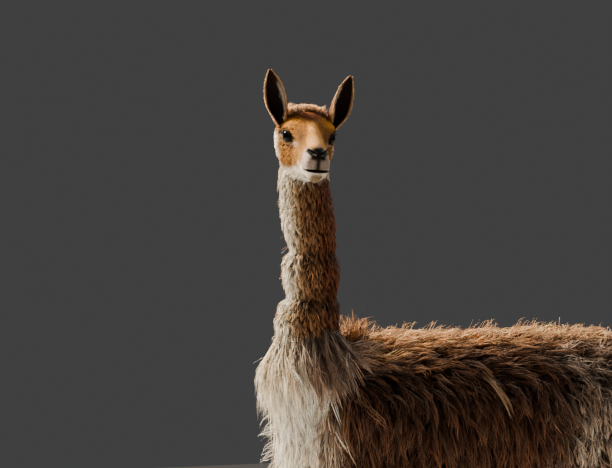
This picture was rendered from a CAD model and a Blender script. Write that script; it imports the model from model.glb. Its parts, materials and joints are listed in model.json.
"""The looks of a still, life-size vicuna in its long winter coat.

A skin is laid over the body, and the coat grows from it in tufts. Lengths are metres. The body
faces -X with its left side towards -Y. Shapes are worked out in the design's own place and
moved onto the frame at the end.
"""

import json
import logging
import math
from dataclasses import dataclass, field
from enum import Enum

import bmesh
import bpy
import numpy as np
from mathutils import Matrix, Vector
from mathutils.bvhtree import BVHTree
from mathutils.kdtree import KDTree

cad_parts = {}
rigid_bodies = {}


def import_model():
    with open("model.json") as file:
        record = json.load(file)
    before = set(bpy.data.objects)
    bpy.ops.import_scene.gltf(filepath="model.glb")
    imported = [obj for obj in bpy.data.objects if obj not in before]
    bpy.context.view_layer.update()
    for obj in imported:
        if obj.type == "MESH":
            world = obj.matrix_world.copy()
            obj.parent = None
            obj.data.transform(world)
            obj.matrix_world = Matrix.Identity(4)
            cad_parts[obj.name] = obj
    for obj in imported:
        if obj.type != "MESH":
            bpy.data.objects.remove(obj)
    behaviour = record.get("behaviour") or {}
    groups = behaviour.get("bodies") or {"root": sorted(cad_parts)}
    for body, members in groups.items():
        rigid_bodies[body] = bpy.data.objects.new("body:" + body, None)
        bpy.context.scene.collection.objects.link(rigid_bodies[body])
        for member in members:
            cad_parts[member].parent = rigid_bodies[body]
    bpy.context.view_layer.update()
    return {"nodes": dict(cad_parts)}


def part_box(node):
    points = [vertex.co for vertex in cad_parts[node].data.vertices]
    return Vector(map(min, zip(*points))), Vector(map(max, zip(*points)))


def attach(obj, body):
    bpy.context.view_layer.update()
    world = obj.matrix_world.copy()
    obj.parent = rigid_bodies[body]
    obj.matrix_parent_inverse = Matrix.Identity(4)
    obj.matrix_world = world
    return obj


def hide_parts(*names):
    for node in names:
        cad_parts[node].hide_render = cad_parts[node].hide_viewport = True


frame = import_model()

Array = np.ndarray
Row = tuple[float, ...]
LOG = logging.getLogger("vicuna")
DOWN = np.array([0.0, 0.0, -1.0])
MARKINGS = "markings"
BAKE_MAP = "OFBake"


def unit(ways: Array) -> Array:
    """Vectors scaled to length one.

    Args:
        ways: vectors along the last axis.

    Returns:
        The same vectors, each of length one.
    """
    return ways / np.maximum(np.linalg.norm(ways, axis=-1, keepdims=True), 1e-9)


def dot(first: Array, second: Array) -> Array:
    """The dot products of two sets of vectors."""
    return (first * second).sum(axis=-1)


def eased(low: float, high: float, value: Array) -> Array:
    """A smooth step from 0 at low to 1 at high.

    Args:
        low: where the step begins.
        high: where it ends, which may be below low.
        value: the values to step.

    Returns:
        Shares from 0 to 1.
    """
    share = np.clip((value - low) / (high - low), 0.0, 1.0)
    return share * share * (3 - 2 * share)


def bell(points: Array, middle: Row, reach: Row) -> Array:
    """How near points are to a middle, from 1 there to 0 far off.

    Args:
        points: the places, one to a row.
        middle: where the bell peaks.
        reach: how far it spreads along each axis.

    Returns:
        Shares from 0 to 1.
    """
    return np.exp(-(((points - middle) / reach) ** 2).sum(axis=-1))


def hump(value: Array, middle: float, reach: float) -> Array:
    """A rise to 1 where a value is at its middle, fading over its reach.

    Args:
        value: the values.
        middle: where the rise peaks.
        reach: how far it spreads to either side.

    Returns:
        Shares from 0 to 1.
    """
    return np.exp(-(((value - middle) / reach) ** 2))


def blend(first: Array, second: Array | Row, share: Array | float) -> Array:
    """Rows of numbers between two others.

    Args:
        first: the rows where the share is 0.
        second: the rows, or the one row, where it is 1.
        share: the share of the second.

    Returns:
        The rows between.
    """
    return first + (np.asarray(second) - first) * np.asarray(share)[..., None]


def smooth_rows(rows: tuple[Row, ...], shares: Array) -> Array:
    """Catmull-Rom through rows of numbers.

    Args:
        rows: the rows to pass through.
        shares: where to read, from 0 at the first row to 1 at the last.

    Returns:
        One row of numbers for each share.
    """
    known = np.array(rows, float)
    padded = np.vstack([2 * known[0] - known[1], known, 2 * known[-1] - known[-2]])
    along = np.asarray(shares) * (len(known) - 1)
    start = np.minimum(along.astype(int), len(known) - 2)
    t = (along - start)[:, None]
    before, first, second, after = (padded[start + k] for k in range(4))
    return 0.5 * (
        2 * first
        + (second - before) * t
        + (2 * before - 5 * first + 4 * second - after) * t**2
        + (3 * first - before - 3 * second + after) * t**3
    )


def ring_ways(sides: int, power: float, bunch: float = 0.0) -> tuple[Array, Array]:
    """Cosine and sine round a unit ring.

    Args:
        sides: how many points the ring has.
        power: 2 for an ellipse, and more for a squarer ring.
        bunch: how far the points crowd towards both sides.

    Returns:
        The sideways and upward part of each point.
    """
    turn = (np.arange(sides) + 0.5) * 2 * math.pi / sides
    turn = turn - bunch * np.sin(2 * turn)
    cosine, sine = np.cos(turn), np.sin(turn)
    squared = 2.0 / power
    return (
        np.sign(cosine) * np.abs(cosine) ** squared,
        np.sign(sine) * np.abs(sine) ** squared,
    )


@dataclass(frozen=True)
class Ripple:
    """A smooth field over space, made of waves that run in seeded directions."""

    seed: int
    size: float
    waves: int = 8

    def at(self, points: Array) -> Array:
        """The field's value, about -1 to 1, at each point.

        Args:
            points: the places.

        Returns:
            One value for each point.
        """
        rng = np.random.default_rng(self.seed)
        ways = unit(rng.normal(size=(self.waves, 3)))
        ways *= 2 * math.pi / self.size * rng.uniform(0.6, 1.6, (self.waves, 1))
        starts = rng.uniform(0, 2 * math.pi, self.waves)
        return np.sin(points @ ways.T + starts).mean(axis=-1) * 1.8


@dataclass
class Shape:
    """A closed mesh before it is an object: its points, and its faces as lists of points."""

    points: Array
    faces: list[tuple[int, ...]]

    def made(self, name: str) -> bpy.types.Object:
        """The shape as an object whose faces point out.

        Args:
            name: the object's name.

        Returns:
            The object.
        """
        mesh = bpy.data.meshes.new(name)
        mesh.from_pydata(self.points.tolist(), [], self.faces)
        work = bmesh.new()
        work.from_mesh(mesh)
        bmesh.ops.recalc_face_normals(work, faces=work.faces)
        if work.calc_volume(signed=True) < 0:
            bmesh.ops.reverse_faces(work, faces=work.faces)
        work.to_mesh(mesh)
        work.free()
        thing = bpy.data.objects.new(name, mesh)
        bpy.context.scene.collection.objects.link(thing)
        return thing


def lofted(rings: Array) -> Shape:
    """A closed shape over rings of points, with a fan at each end.

    Args:
        rings: the points, as ring, side and axis.

    Returns:
        The shape.
    """
    count, sides, _ = rings.shape
    low = np.arange(count * sides).reshape(count, sides)
    after = np.roll(low, -1, axis=1)
    quads = np.stack([low[:-1], after[:-1], after[1:], low[1:]], axis=-1).reshape(-1, 4)
    faces = [tuple(quad) for quad in quads.tolist()]
    points = np.concatenate([rings.reshape(-1, 3), rings[[0, -1]].mean(axis=1)])
    first, last = len(points) - 2, len(points) - 1
    for side in range(sides):
        faces.append((int(after[0, side]), int(low[0, side]), first))
        faces.append((int(low[-1, side]), int(after[-1, side]), last))
    return Shape(points, faces)


def upright(rows: Array, sides: int, power: float = 2.0) -> Shape:
    """A tube of level rings.

    Args:
        rows: x, y, z, half depth and half width of each ring.
        sides: points to a ring.
        power: how square the rings are.

    Returns:
        The tube as a shape.
    """
    cosine, sine = ring_ways(sides, power)
    x, y, z, depth, width = (rows[:, k, None] for k in range(5))
    level = z + 0 * cosine
    return lofted(np.stack([x + depth * cosine, y + width * sine, level], axis=-1))


def lengthwise(rows: Array, sides: int, powers: tuple[float, float], bunch: float = 0.0) -> Array:
    """The rings of a tube along x.

    Args:
        rows: x, top, bottom, height of the greatest width and half width of each ring.
        sides: points to a ring.
        powers: how square the rings are above and below their greatest width.
        bunch: how far the points crowd towards both sides.

    Returns:
        The points, as ring, side and axis.
    """
    above, below = ring_ways(sides, powers[0], bunch), ring_ways(sides, powers[1], bunch)
    high = above[1] > 0
    cosine = np.where(high, above[0], below[0])
    sine = np.where(high, above[1], below[1])
    x, top, bottom, wide, half = (rows[:, k, None] for k in range(5))
    z = wide + np.where(sine > 0, top - wide, wide - bottom) * sine
    return np.stack([x + 0 * cosine, half * cosine, z], axis=-1)


def evaluated(thing: bpy.types.Object) -> None:
    """Applies every modifier of an object to its mesh.

    Args:
        thing: the object.
    """
    graph = bpy.context.evaluated_depsgraph_get()
    mesh = bpy.data.meshes.new_from_object(thing.evaluated_get(graph))
    thing.modifiers.clear()
    thing.data = mesh


def joined(thing: bpy.types.Object, others: list[bpy.types.Object]) -> None:
    """Fuses other closed objects into one and removes them.

    Args:
        thing: the object that is kept.
        others: the objects that go into it.
    """
    group = bpy.data.collections.new(thing.name + "_parts")
    bpy.context.scene.collection.children.link(group)
    for other in others:
        bpy.context.scene.collection.objects.unlink(other)
        group.objects.link(other)
    modifier = thing.modifiers.new("join", "BOOLEAN")
    modifier.operation = "UNION"
    modifier.operand_type = "COLLECTION"
    modifier.collection = group
    modifier.solver = "MANIFOLD"
    evaluated(thing)
    for other in list(group.objects):
        bpy.data.objects.remove(other)
    bpy.data.collections.remove(group)


@dataclass(frozen=True)
class HeadPose:
    """Where the head stands: the place between its eyes and how far it is turned."""

    between_eyes: Row = (-0.353, -0.044, 1.283)
    turn_deg: float = 71.5
    pitch_deg: float = 4.0
    roll_deg: float = 3.8

    def axes(self) -> Array:
        """The head's forward, left and up, as columns.

        Returns:
            A matrix of three columns.
        """
        turn, pitch, roll = (math.radians(a) for a in (self.turn_deg, self.pitch_deg, self.roll_deg))
        level = np.array([-math.cos(turn), -math.sin(turn), 0.0])
        forward = level * math.cos(pitch) + DOWN * math.sin(pitch)
        up = level * math.sin(pitch) - DOWN * math.cos(pitch)
        left = np.cross(up, forward)
        tilted_left = left * math.cos(roll) - up * math.sin(roll)
        tilted_up = up * math.cos(roll) + left * math.sin(roll)
        return np.stack([forward, tilted_left, tilted_up], axis=1)

    def placed(self, points: Array) -> Array:
        """Points of the head's own frame, placed on the body."""
        return points @ self.axes().T + self.between_eyes

    def seen(self, points: Array) -> Array:
        """Points of the body in the head's own frame."""
        return (points - self.between_eyes) @ self.axes()

    def turned(self, ways: Array) -> Array:
        """Ways of the head's own frame, turned with the head."""
        return ways @ self.axes().T


@dataclass(frozen=True)
class Trunk:
    """The body under the coat, from the chest to the rump."""

    withers_height: float = 0.862
    length: float = 0.839
    half_width: float = 0.148
    front_x: float = -0.364
    shoulder: tuple[Row, Row] = ((-0.245, 0.082, 0.665), (0.098, 0.050, 0.165))
    thigh: tuple[Row, Row] = ((0.305, 0.080, 0.665), (0.125, 0.056, 0.165))
    # Share along the body; top, bottom and height of the greatest width as shares of the
    # withers height; half width as a share of the greatest
    rows: tuple[Row, ...] = (
        (0.000, 0.830, 0.715, 0.780, 0.13),
        (0.018, 0.875, 0.675, 0.775, 0.33),
        (0.048, 0.915, 0.650, 0.770, 0.57),
        (0.098, 0.960, 0.625, 0.765, 0.77),
        (0.160, 0.988, 0.608, 0.760, 0.87),
        (0.270, 1.000, 0.592, 0.750, 0.95),
        (0.390, 1.000, 0.588, 0.745, 0.98),
        (0.510, 1.000, 0.600, 0.750, 1.00),
        (0.620, 0.999, 0.622, 0.760, 0.99),
        (0.720, 0.998, 0.645, 0.770, 0.95),
        (0.810, 0.996, 0.660, 0.775, 0.90),
        (0.890, 0.978, 0.675, 0.780, 0.80),
        (0.955, 0.930, 0.705, 0.790, 0.60),
        (1.000, 0.860, 0.760, 0.805, 0.24),
    )

    def forms(self) -> list[Shape]:
        """The barrel with the swells of the shoulders and thighs.

        Returns:
            The shapes.
        """
        found = smooth_rows(self.rows, np.linspace(0, 1, 60))
        x = self.front_x + self.length * found[:, :1]
        heights = found[:, 1:4] * self.withers_height
        rows = np.hstack([x, heights, found[:, 4:] * self.half_width])
        shapes = [lofted(lengthwise(rows, 72, (2.15, 2.15)))]
        for (x, y, z), radii in (self.shoulder, self.thigh):
            shapes += [egg((x, side * y, z), radii) for side in (-1, 1)]
        return shapes


def egg(middle: Row, radii: Row, segments: int = 40, rings: int = 24) -> Shape:
    """A closed ellipsoid.

    Args:
        middle: its centre.
        radii: its half sizes.
        segments: points round it.
        rings: rings from pole to pole.

    Returns:
        The shape.
    """
    tilt = np.linspace(0.03, math.pi - 0.03, rings)[:, None]
    turn = np.linspace(0, 2 * math.pi, segments, endpoint=False)
    ball = np.stack(
        [np.sin(tilt) * np.cos(turn), np.sin(tilt) * np.sin(turn), np.cos(tilt) + 0 * turn], axis=-1
    )
    return lofted(ball * radii + np.asarray(middle))


@dataclass(frozen=True)
class Neck:
    """The neck under its wool, which stands in three tiers with a waist under each."""

    x: float = -0.330
    wool: float = 0.013
    # Height, forward offset, half depth and half width out to the wool's core
    rows: tuple[Row, ...] = (
        (0.680, 0.035, 0.078, 0.083),
        (0.760, 0.020, 0.077, 0.080),
        (0.830, 0.006, 0.069, 0.071),
        (0.880, 0.004, 0.064, 0.064),
        (0.915, 0.000, 0.062, 0.061),
        (0.945, 0.006, 0.055, 0.053),
        (0.985, 0.008, 0.056, 0.054),
        (1.025, 0.006, 0.053, 0.051),
        (1.052, 0.008, 0.050, 0.048),
        (1.085, 0.004, 0.052, 0.050),
        (1.130, 0.000, 0.052, 0.050),
        (1.175, -0.006, 0.050, 0.048),
        (1.225, -0.010, 0.048, 0.046),
        (1.255, -0.010, 0.043, 0.042),
        (1.282, -0.010, 0.028, 0.028),
    )

    def forms(self) -> list[Shape]:
        """The neck from inside the chest up into the head.

        Returns:
            The shapes.
        """
        found = smooth_rows(self.rows, np.linspace(0, 1, 90))
        z, ahead, depth, width = found.T
        wool = self.wool * (0.35 + 0.65 * eased(0.80, 0.92, z))
        rows = np.stack([self.x + ahead, 0 * z, z, depth - wool, width - wool], axis=1)
        return [upright(rows, 64)]


@dataclass(frozen=True)
class Limbs:
    """The four legs down to their feet."""

    fur: float = 0.003
    thick_wool: float = 0.012
    # x, y, z, half depth along the body and half width, from the body down
    fore: tuple[Row, ...] = (
        (-0.245, 0.082, 0.640, 0.090, 0.062),
        (-0.235, 0.090, 0.560, 0.066, 0.052),
        (-0.232, 0.090, 0.500, 0.054, 0.045),
        (-0.238, 0.088, 0.440, 0.043, 0.037),
        (-0.246, 0.086, 0.370, 0.034, 0.030),
        (-0.250, 0.084, 0.315, 0.031, 0.028),
        (-0.251, 0.083, 0.290, 0.031, 0.029),
        (-0.248, 0.082, 0.255, 0.023, 0.022),
        (-0.247, 0.081, 0.190, 0.0195, 0.0185),
        (-0.247, 0.080, 0.130, 0.0200, 0.0195),
        (-0.250, 0.080, 0.092, 0.0245, 0.0235),
        (-0.262, 0.080, 0.055, 0.0235, 0.0230),
        (-0.272, 0.080, 0.022, 0.0240, 0.0235),
    )
    hind: tuple[Row, ...] = (
        (0.300, 0.080, 0.700, 0.120, 0.062),
        (0.282, 0.094, 0.600, 0.104, 0.056),
        (0.298, 0.095, 0.500, 0.076, 0.047),
        (0.330, 0.092, 0.430, 0.054, 0.038),
        (0.368, 0.089, 0.372, 0.043, 0.030),
        (0.392, 0.086, 0.338, 0.040, 0.027),
        (0.396, 0.085, 0.305, 0.033, 0.026),
        (0.390, 0.084, 0.260, 0.0245, 0.0220),
        (0.382, 0.083, 0.190, 0.0205, 0.0190),
        (0.376, 0.082, 0.130, 0.0205, 0.0200),
        (0.372, 0.082, 0.092, 0.0245, 0.0235),
        (0.360, 0.082, 0.055, 0.0235, 0.0230),
        (0.350, 0.082, 0.022, 0.0240, 0.0235),
    )

    def forms(self) -> list[Shape]:
        """The four legs, each a tube from inside the body down.

        Returns:
            The shapes.
        """
        shapes = []
        for table in (self.fore, self.hind):
            found = smooth_rows(table, np.linspace(0, 1, 90))
            fur = self.fur + self.thick_wool * eased(0.36, 0.56, found[:, 2])
            found[:, 3] -= fur
            found[:, 4] -= fur
            for side in (-1, 1):
                rows = found.copy()
                rows[:, 1] *= side
                shapes.append(upright(rows, 40))
        return shapes

    def feet(self) -> list[Row]:
        """The place on the floor under each leg.

        Returns:
            The places.
        """
        return [
            (table[-1][0], side * table[-1][1], 0.0)
            for table in (self.fore, self.hind)
            for side in (-1, 1)
        ]


@dataclass(frozen=True)
class Toes:
    """The two toes of a foot, each with a soft pad under it."""

    length: float = 0.072
    half_width: float = 0.0165
    height: float = 0.034
    spread: float = 0.0180
    ahead: float = 0.006
    sole: float = 0.0006
    skin: float = 0.0004
    # Forward offset, top, bottom, height of the greatest width and half width, as shares of the
    # toe's length, height and half width
    rows: tuple[Row, ...] = (
        (0.42, 0.42, 0.00, 0.20, 0.55),
        (0.34, 0.75, -0.09, 0.30, 0.86),
        (0.10, 1.05, -0.12, 0.34, 1.00),
        (-0.15, 1.00, -0.12, 0.34, 1.00),
        (-0.38, 0.78, -0.12, 0.32, 0.94),
        (-0.54, 0.52, -0.06, 0.26, 0.70),
        (-0.62, 0.30, 0.03, 0.18, 0.36),
    )

    def forms(self, feet: list[Row]) -> list[Shape]:
        """Both toes of every foot.

        Args:
            feet: the places on the floor under the legs.

        Returns:
            The shapes.
        """
        size = (self.length, self.height, self.height, self.height, self.half_width)
        rows = smooth_rows(self.rows, np.linspace(0, 1, 26)) * size
        shapes = []
        for foot_x, foot_y, _ in feet:
            for way in (-1, 1):
                ring = lengthwise(rows, 28, (2.4, 2.4))
                points = ring + (foot_x - self.ahead, foot_y + way * self.spread, 0.0)
                points[..., 2] = np.maximum(points[..., 2] - self.skin, self.sole)
                shapes.append(lofted(points))
        return shapes


@dataclass(frozen=True)
class Tail:
    """The tail under its coat: x, z, half depth and half width out to the tips."""

    core: float = 0.42
    rows: tuple[Row, ...] = (
        (0.430, 0.800, 0.030, 0.030),
        (0.466, 0.795, 0.036, 0.038),
        (0.497, 0.765, 0.040, 0.046),
        (0.516, 0.715, 0.040, 0.050),
        (0.524, 0.655, 0.038, 0.050),
        (0.524, 0.595, 0.032, 0.042),
        (0.520, 0.550, 0.020, 0.026),
    )

    def forms(self) -> list[Shape]:
        """The tail as one tube.

        Returns:
            The shapes.
        """
        x, z, depth, width = smooth_rows(self.rows, np.linspace(0, 1, 40)).T
        rows = np.stack([x, 0 * x, z, depth * self.core, width * self.core], axis=1)
        return [upright(rows, 32)]


@dataclass(frozen=True)
class Brisket:
    """The chest under its bib of long hair: height, x, half depth and half width of the bib."""

    share: float = 0.55
    back: float = 0.008
    rows: tuple[Row, ...] = (
        (0.790, -0.352, 0.022, 0.040),
        (0.755, -0.355, 0.031, 0.075),
        (0.700, -0.352, 0.035, 0.093),
        (0.640, -0.345, 0.036, 0.098),
        (0.580, -0.332, 0.034, 0.088),
        (0.525, -0.318, 0.028, 0.066),
    )

    def forms(self) -> list[Shape]:
        """The padded middle of the bib.

        Returns:
            The shapes.
        """
        z, x, depth, width = smooth_rows(self.rows, np.linspace(0, 1, 30)).T
        rows = np.stack([x + self.back, 0 * x, z, depth * self.share, width * self.share], axis=1)
        return [upright(rows, 48, 2.3)]


@dataclass(frozen=True)
class Swell:
    """A soft rise of the head, or a hollow where its height is negative."""

    middle: Row
    reach: Row
    height: float

    def raised(self, points: Array, outward: Array) -> Array:
        """The points moved by this swell and by its twin on the other side.

        Args:
            points: the head's points.
            outward: the way out of the head at each.

        Returns:
            The points moved.
        """
        share = bell(points, self.middle, self.reach)
        if self.middle[1]:
            share = share + bell(points * (1, -1, 1), self.middle, self.reach)
        return points + outward * (share * self.height)[..., None]


@dataclass(frozen=True)
class Eye:
    """An eye's place in the head, and its lids."""

    radius: float = 0.0175
    centre: Row = (0.0070, 0.0355, 0.0)
    turn_deg: float = 50.0
    rise: float = 0.06
    width: float = 0.0325
    above: float = 0.0074
    below: float = 0.0084
    tilt_deg: float = 9.0
    lid: float = 0.0020
    sunk: float = 0.0024
    fold: float = 0.0020
    line: float = 0.0034
    # How far the dark skin reaches to the outer and the inner corner
    wing: tuple[float, float] = (0.0275, 0.0235)
    # Where the crease and the swelling of a lid lie, in shares of the rim, and their widths
    crease: tuple[float, float] = (1.62, 0.13)
    puff: tuple[float, float] = (1.30, 0.16)
    puff_height: float = 0.0016
    # How points near the rim are gathered to it: shares of the way out, before and after
    spread: Row = (0.0, 0.72, 0.90, 0.995, 1.005, 1.16, 1.50, 9.0)
    gathered: Row = (0.0, 0.72, 0.970, 0.990, 1.000, 1.035, 1.50, 9.0)

    def middle(self, side: int) -> Array:
        """The ball's middle in the head's frame."""
        return np.array(self.centre) * (1, side, 1)

    def axes(self, side: int) -> tuple[Array, Array, Array]:
        """The gaze, the way from the inner corner to the outer and the way up, in the head's frame.

        Args:
            side: 1 for the left eye and -1 for the right.

        Returns:
            Three ways of length one.
        """
        turn, tilt = math.radians(self.turn_deg), math.radians(self.tilt_deg)
        gaze = unit(np.array([math.cos(turn), side * math.sin(turn), self.rise]))
        level = side * unit(np.cross((0, 0, 1), gaze))
        up = side * np.cross(gaze, level)
        outward = level * math.cos(tilt) + up * math.sin(tilt)
        return gaze, outward, up * math.cos(tilt) - level * math.sin(tilt)

    def liner(self, points: Array, side: int) -> Array:
        """How dark the bare skin round the eye is, drawn out to a point at either corner.

        Args:
            points: places in the head's frame.
            side: 1 for the left eye and -1 for the right.

        Returns:
            Shares from 0 to 1.
        """
        gaze, outward, up = self.axes(side)
        offset = points - self.middle(side)
        a, rise = offset @ outward, offset @ up
        a = a / np.where(a > 0, self.wing[0], self.wing[1])
        b = rise / (np.where(rise > 0, self.above, self.below) + self.line)
        found = np.abs(b) + a**2
        return eased(1.25, 0.95, found) * (offset @ gaze > 0)

    def rim_share(self, points: Array, side: int) -> Array:
        """How far out points lie from the gaze: 1 on the rim of the lids, seen along it.

        Args:
            points: places in the head's frame.
            side: 1 for the left eye and -1 for the right.

        Returns:
            Shares of the way to the rim, which are large behind the eye.
        """
        gaze, outward, up = self.axes(side)
        offset = points - self.middle(side)
        a = offset @ outward / (self.width / 2)
        rise = offset @ up
        b = rise / np.where(rise > 0, self.above, self.below)
        found = np.sqrt(a**2 + b**2 * (1 + 0.30 * a**2))
        return np.where(offset @ gaze > 0, found, 9.0)

    def lidded(self, points: Array) -> Array:
        """The head's points drawn over both balls as lids, and tucked in behind them.

        Args:
            points: the head's points.

        Returns:
            The points moved.
        """
        for side in (-1, 1):
            gaze, _, up = self.axes(side)
            share = self.rim_share(points, side)
            offset = points - self.middle(side)
            ahead = (offset @ gaze)[..., None] * gaze
            drawn = np.interp(share, self.spread, self.gathered) / np.maximum(share, 1e-3)
            moved = ahead + (offset - ahead) * drawn[..., None]
            share = np.interp(share, self.spread, self.gathered)
            distance = np.linalg.norm(moved, axis=-1)
            above = eased(-0.002, 0.004, moved @ up)
            over = eased(2.4, 1.35, share)
            crease = self.fold * (0.3 + 0.7 * above) * hump(share, *self.crease)
            puff = self.puff_height * above * hump(share, *self.puff)
            lid = self.radius + self.lid + puff - crease
            reach = distance * (1 - over) + np.maximum(lid, distance * 0.90) * over
            reach = np.where(share < 1.04, self.radius + self.lid * 0.8, reach)
            reach = np.where(share < 0.995, self.radius - self.sunk, reach)
            placed = self.middle(side) + unit(moved) * reach[..., None]
            points = np.where((share < 2.4)[..., None], placed, points)
        return points


@dataclass(frozen=True)
class Muzzle:
    """The nostrils, the cleft of the upper lip and the mouth."""

    nostril: Row = (0.1330, 0.0130, -0.0210)
    nostril_half: tuple[float, float] = (0.0085, 0.0032)
    nostril_depth: float = 0.0080
    slant_deg: float = 28.0
    mouth_height: float = -0.0560
    mouth_x: float = 0.0760
    sweep_deg: float = 92.0
    corner_rise: float = 0.004
    gape: tuple[float, float] = (0.0004, 0.0023)
    mouth_depth: float = 0.0070
    lip: float = 0.0011
    cleft_half: float = 0.0013
    cleft_depth: float = 0.0024
    # How high the wings of the nostrils and the lobes of the lip rise, and where and how wide
    wing_height: float = 0.0016
    wing: tuple[float, float] = (1.45, 0.42)
    lobe_height: float = 0.0016
    lobe: tuple[float, float] = (0.0085, 0.005)
    lip_edge: tuple[float, float] = (0.0022, 0.0020)

    def nostril_share(self, points: Array, side: int) -> Array:
        """How far out points lie from a nostril's slit, 1 on its edge.

        Args:
            points: places in the head's frame.
            side: 1 for the left nostril and -1 for the right.

        Returns:
            Shares of the way to the edge, which are large away from the nose.
        """
        slant = math.radians(self.slant_deg)
        y = points[..., 1] * side - self.nostril[1]
        z = points[..., 2] - self.nostril[2]
        a = y * math.cos(slant) + z * math.sin(slant)
        b = z * math.cos(slant) - y * math.sin(slant)
        found = np.sqrt((a / self.nostril_half[0]) ** 2 + (b / self.nostril_half[1]) ** 2)
        return np.where(points[..., 0] > self.nostril[0] - 0.02, found, 9.0)

    def mouth_offset(self, points: Array) -> tuple[Array, Array, Array]:
        """Points against the line of the mouth.

        Args:
            points: places in the head's frame.

        Returns:
            The height over the line, the half gape there, and the share of the way round from
            the middle to a corner.
        """
        turn = np.arctan2(points[..., 1], points[..., 0] - self.mouth_x)
        round_share = np.abs(turn) / math.radians(self.sweep_deg)
        line = self.mouth_height + self.corner_rise * round_share**2
        half = self.gape[0] + (self.gape[1] - self.gape[0]) * eased(0.36, 0.0, round_share)
        return points[..., 2] - line, half, round_share

    def carved(self, points: Array, outward: Array) -> Array:
        """The head's points with nostrils, cleft, lips and mouth.

        Args:
            points: the head's points.
            outward: the way out of the head at each.

        Returns:
            The points moved.
        """
        for side in (-1, 1):
            share = self.nostril_share(points, side)
            wing = self.wing_height * hump(share, *self.wing)
            hollow = self.nostril_depth * np.sqrt(np.clip(1 - share**2, 0, 1))
            inward = unit(np.array([1.0, 0.35 * side, 0.25]))
            points = points + outward * wing[..., None] - inward * hollow[..., None]
        y, z = points[..., 1], points[..., 2]
        high = self.nostril[2] - 0.006
        run = eased(self.mouth_height - 0.002, self.mouth_height + 0.004, z)
        run = run * eased(high + 0.004, high, z) * (points[..., 0] > 0.115)
        cleft = run * (self.cleft_depth * hump(y, 0.0, self.cleft_half))
        lobes = run * self.lobe_height * hump(np.abs(y), *self.lobe)
        points = points + outward * (lobes - cleft)[..., None]
        height, half, round_share = self.mouth_offset(points)
        along = eased(1.05, 0.95, round_share)
        lips = self.lip * hump(np.abs(height) - half, *self.lip_edge)
        slot = self.mouth_depth * np.clip(1 - (height / half) ** 2, 0, 1) ** 0.5
        slot = slot * (0.45 + 0.55 * eased(0.9, 0.2, round_share))
        return points + outward * ((lips - slot) * along)[..., None]


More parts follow.
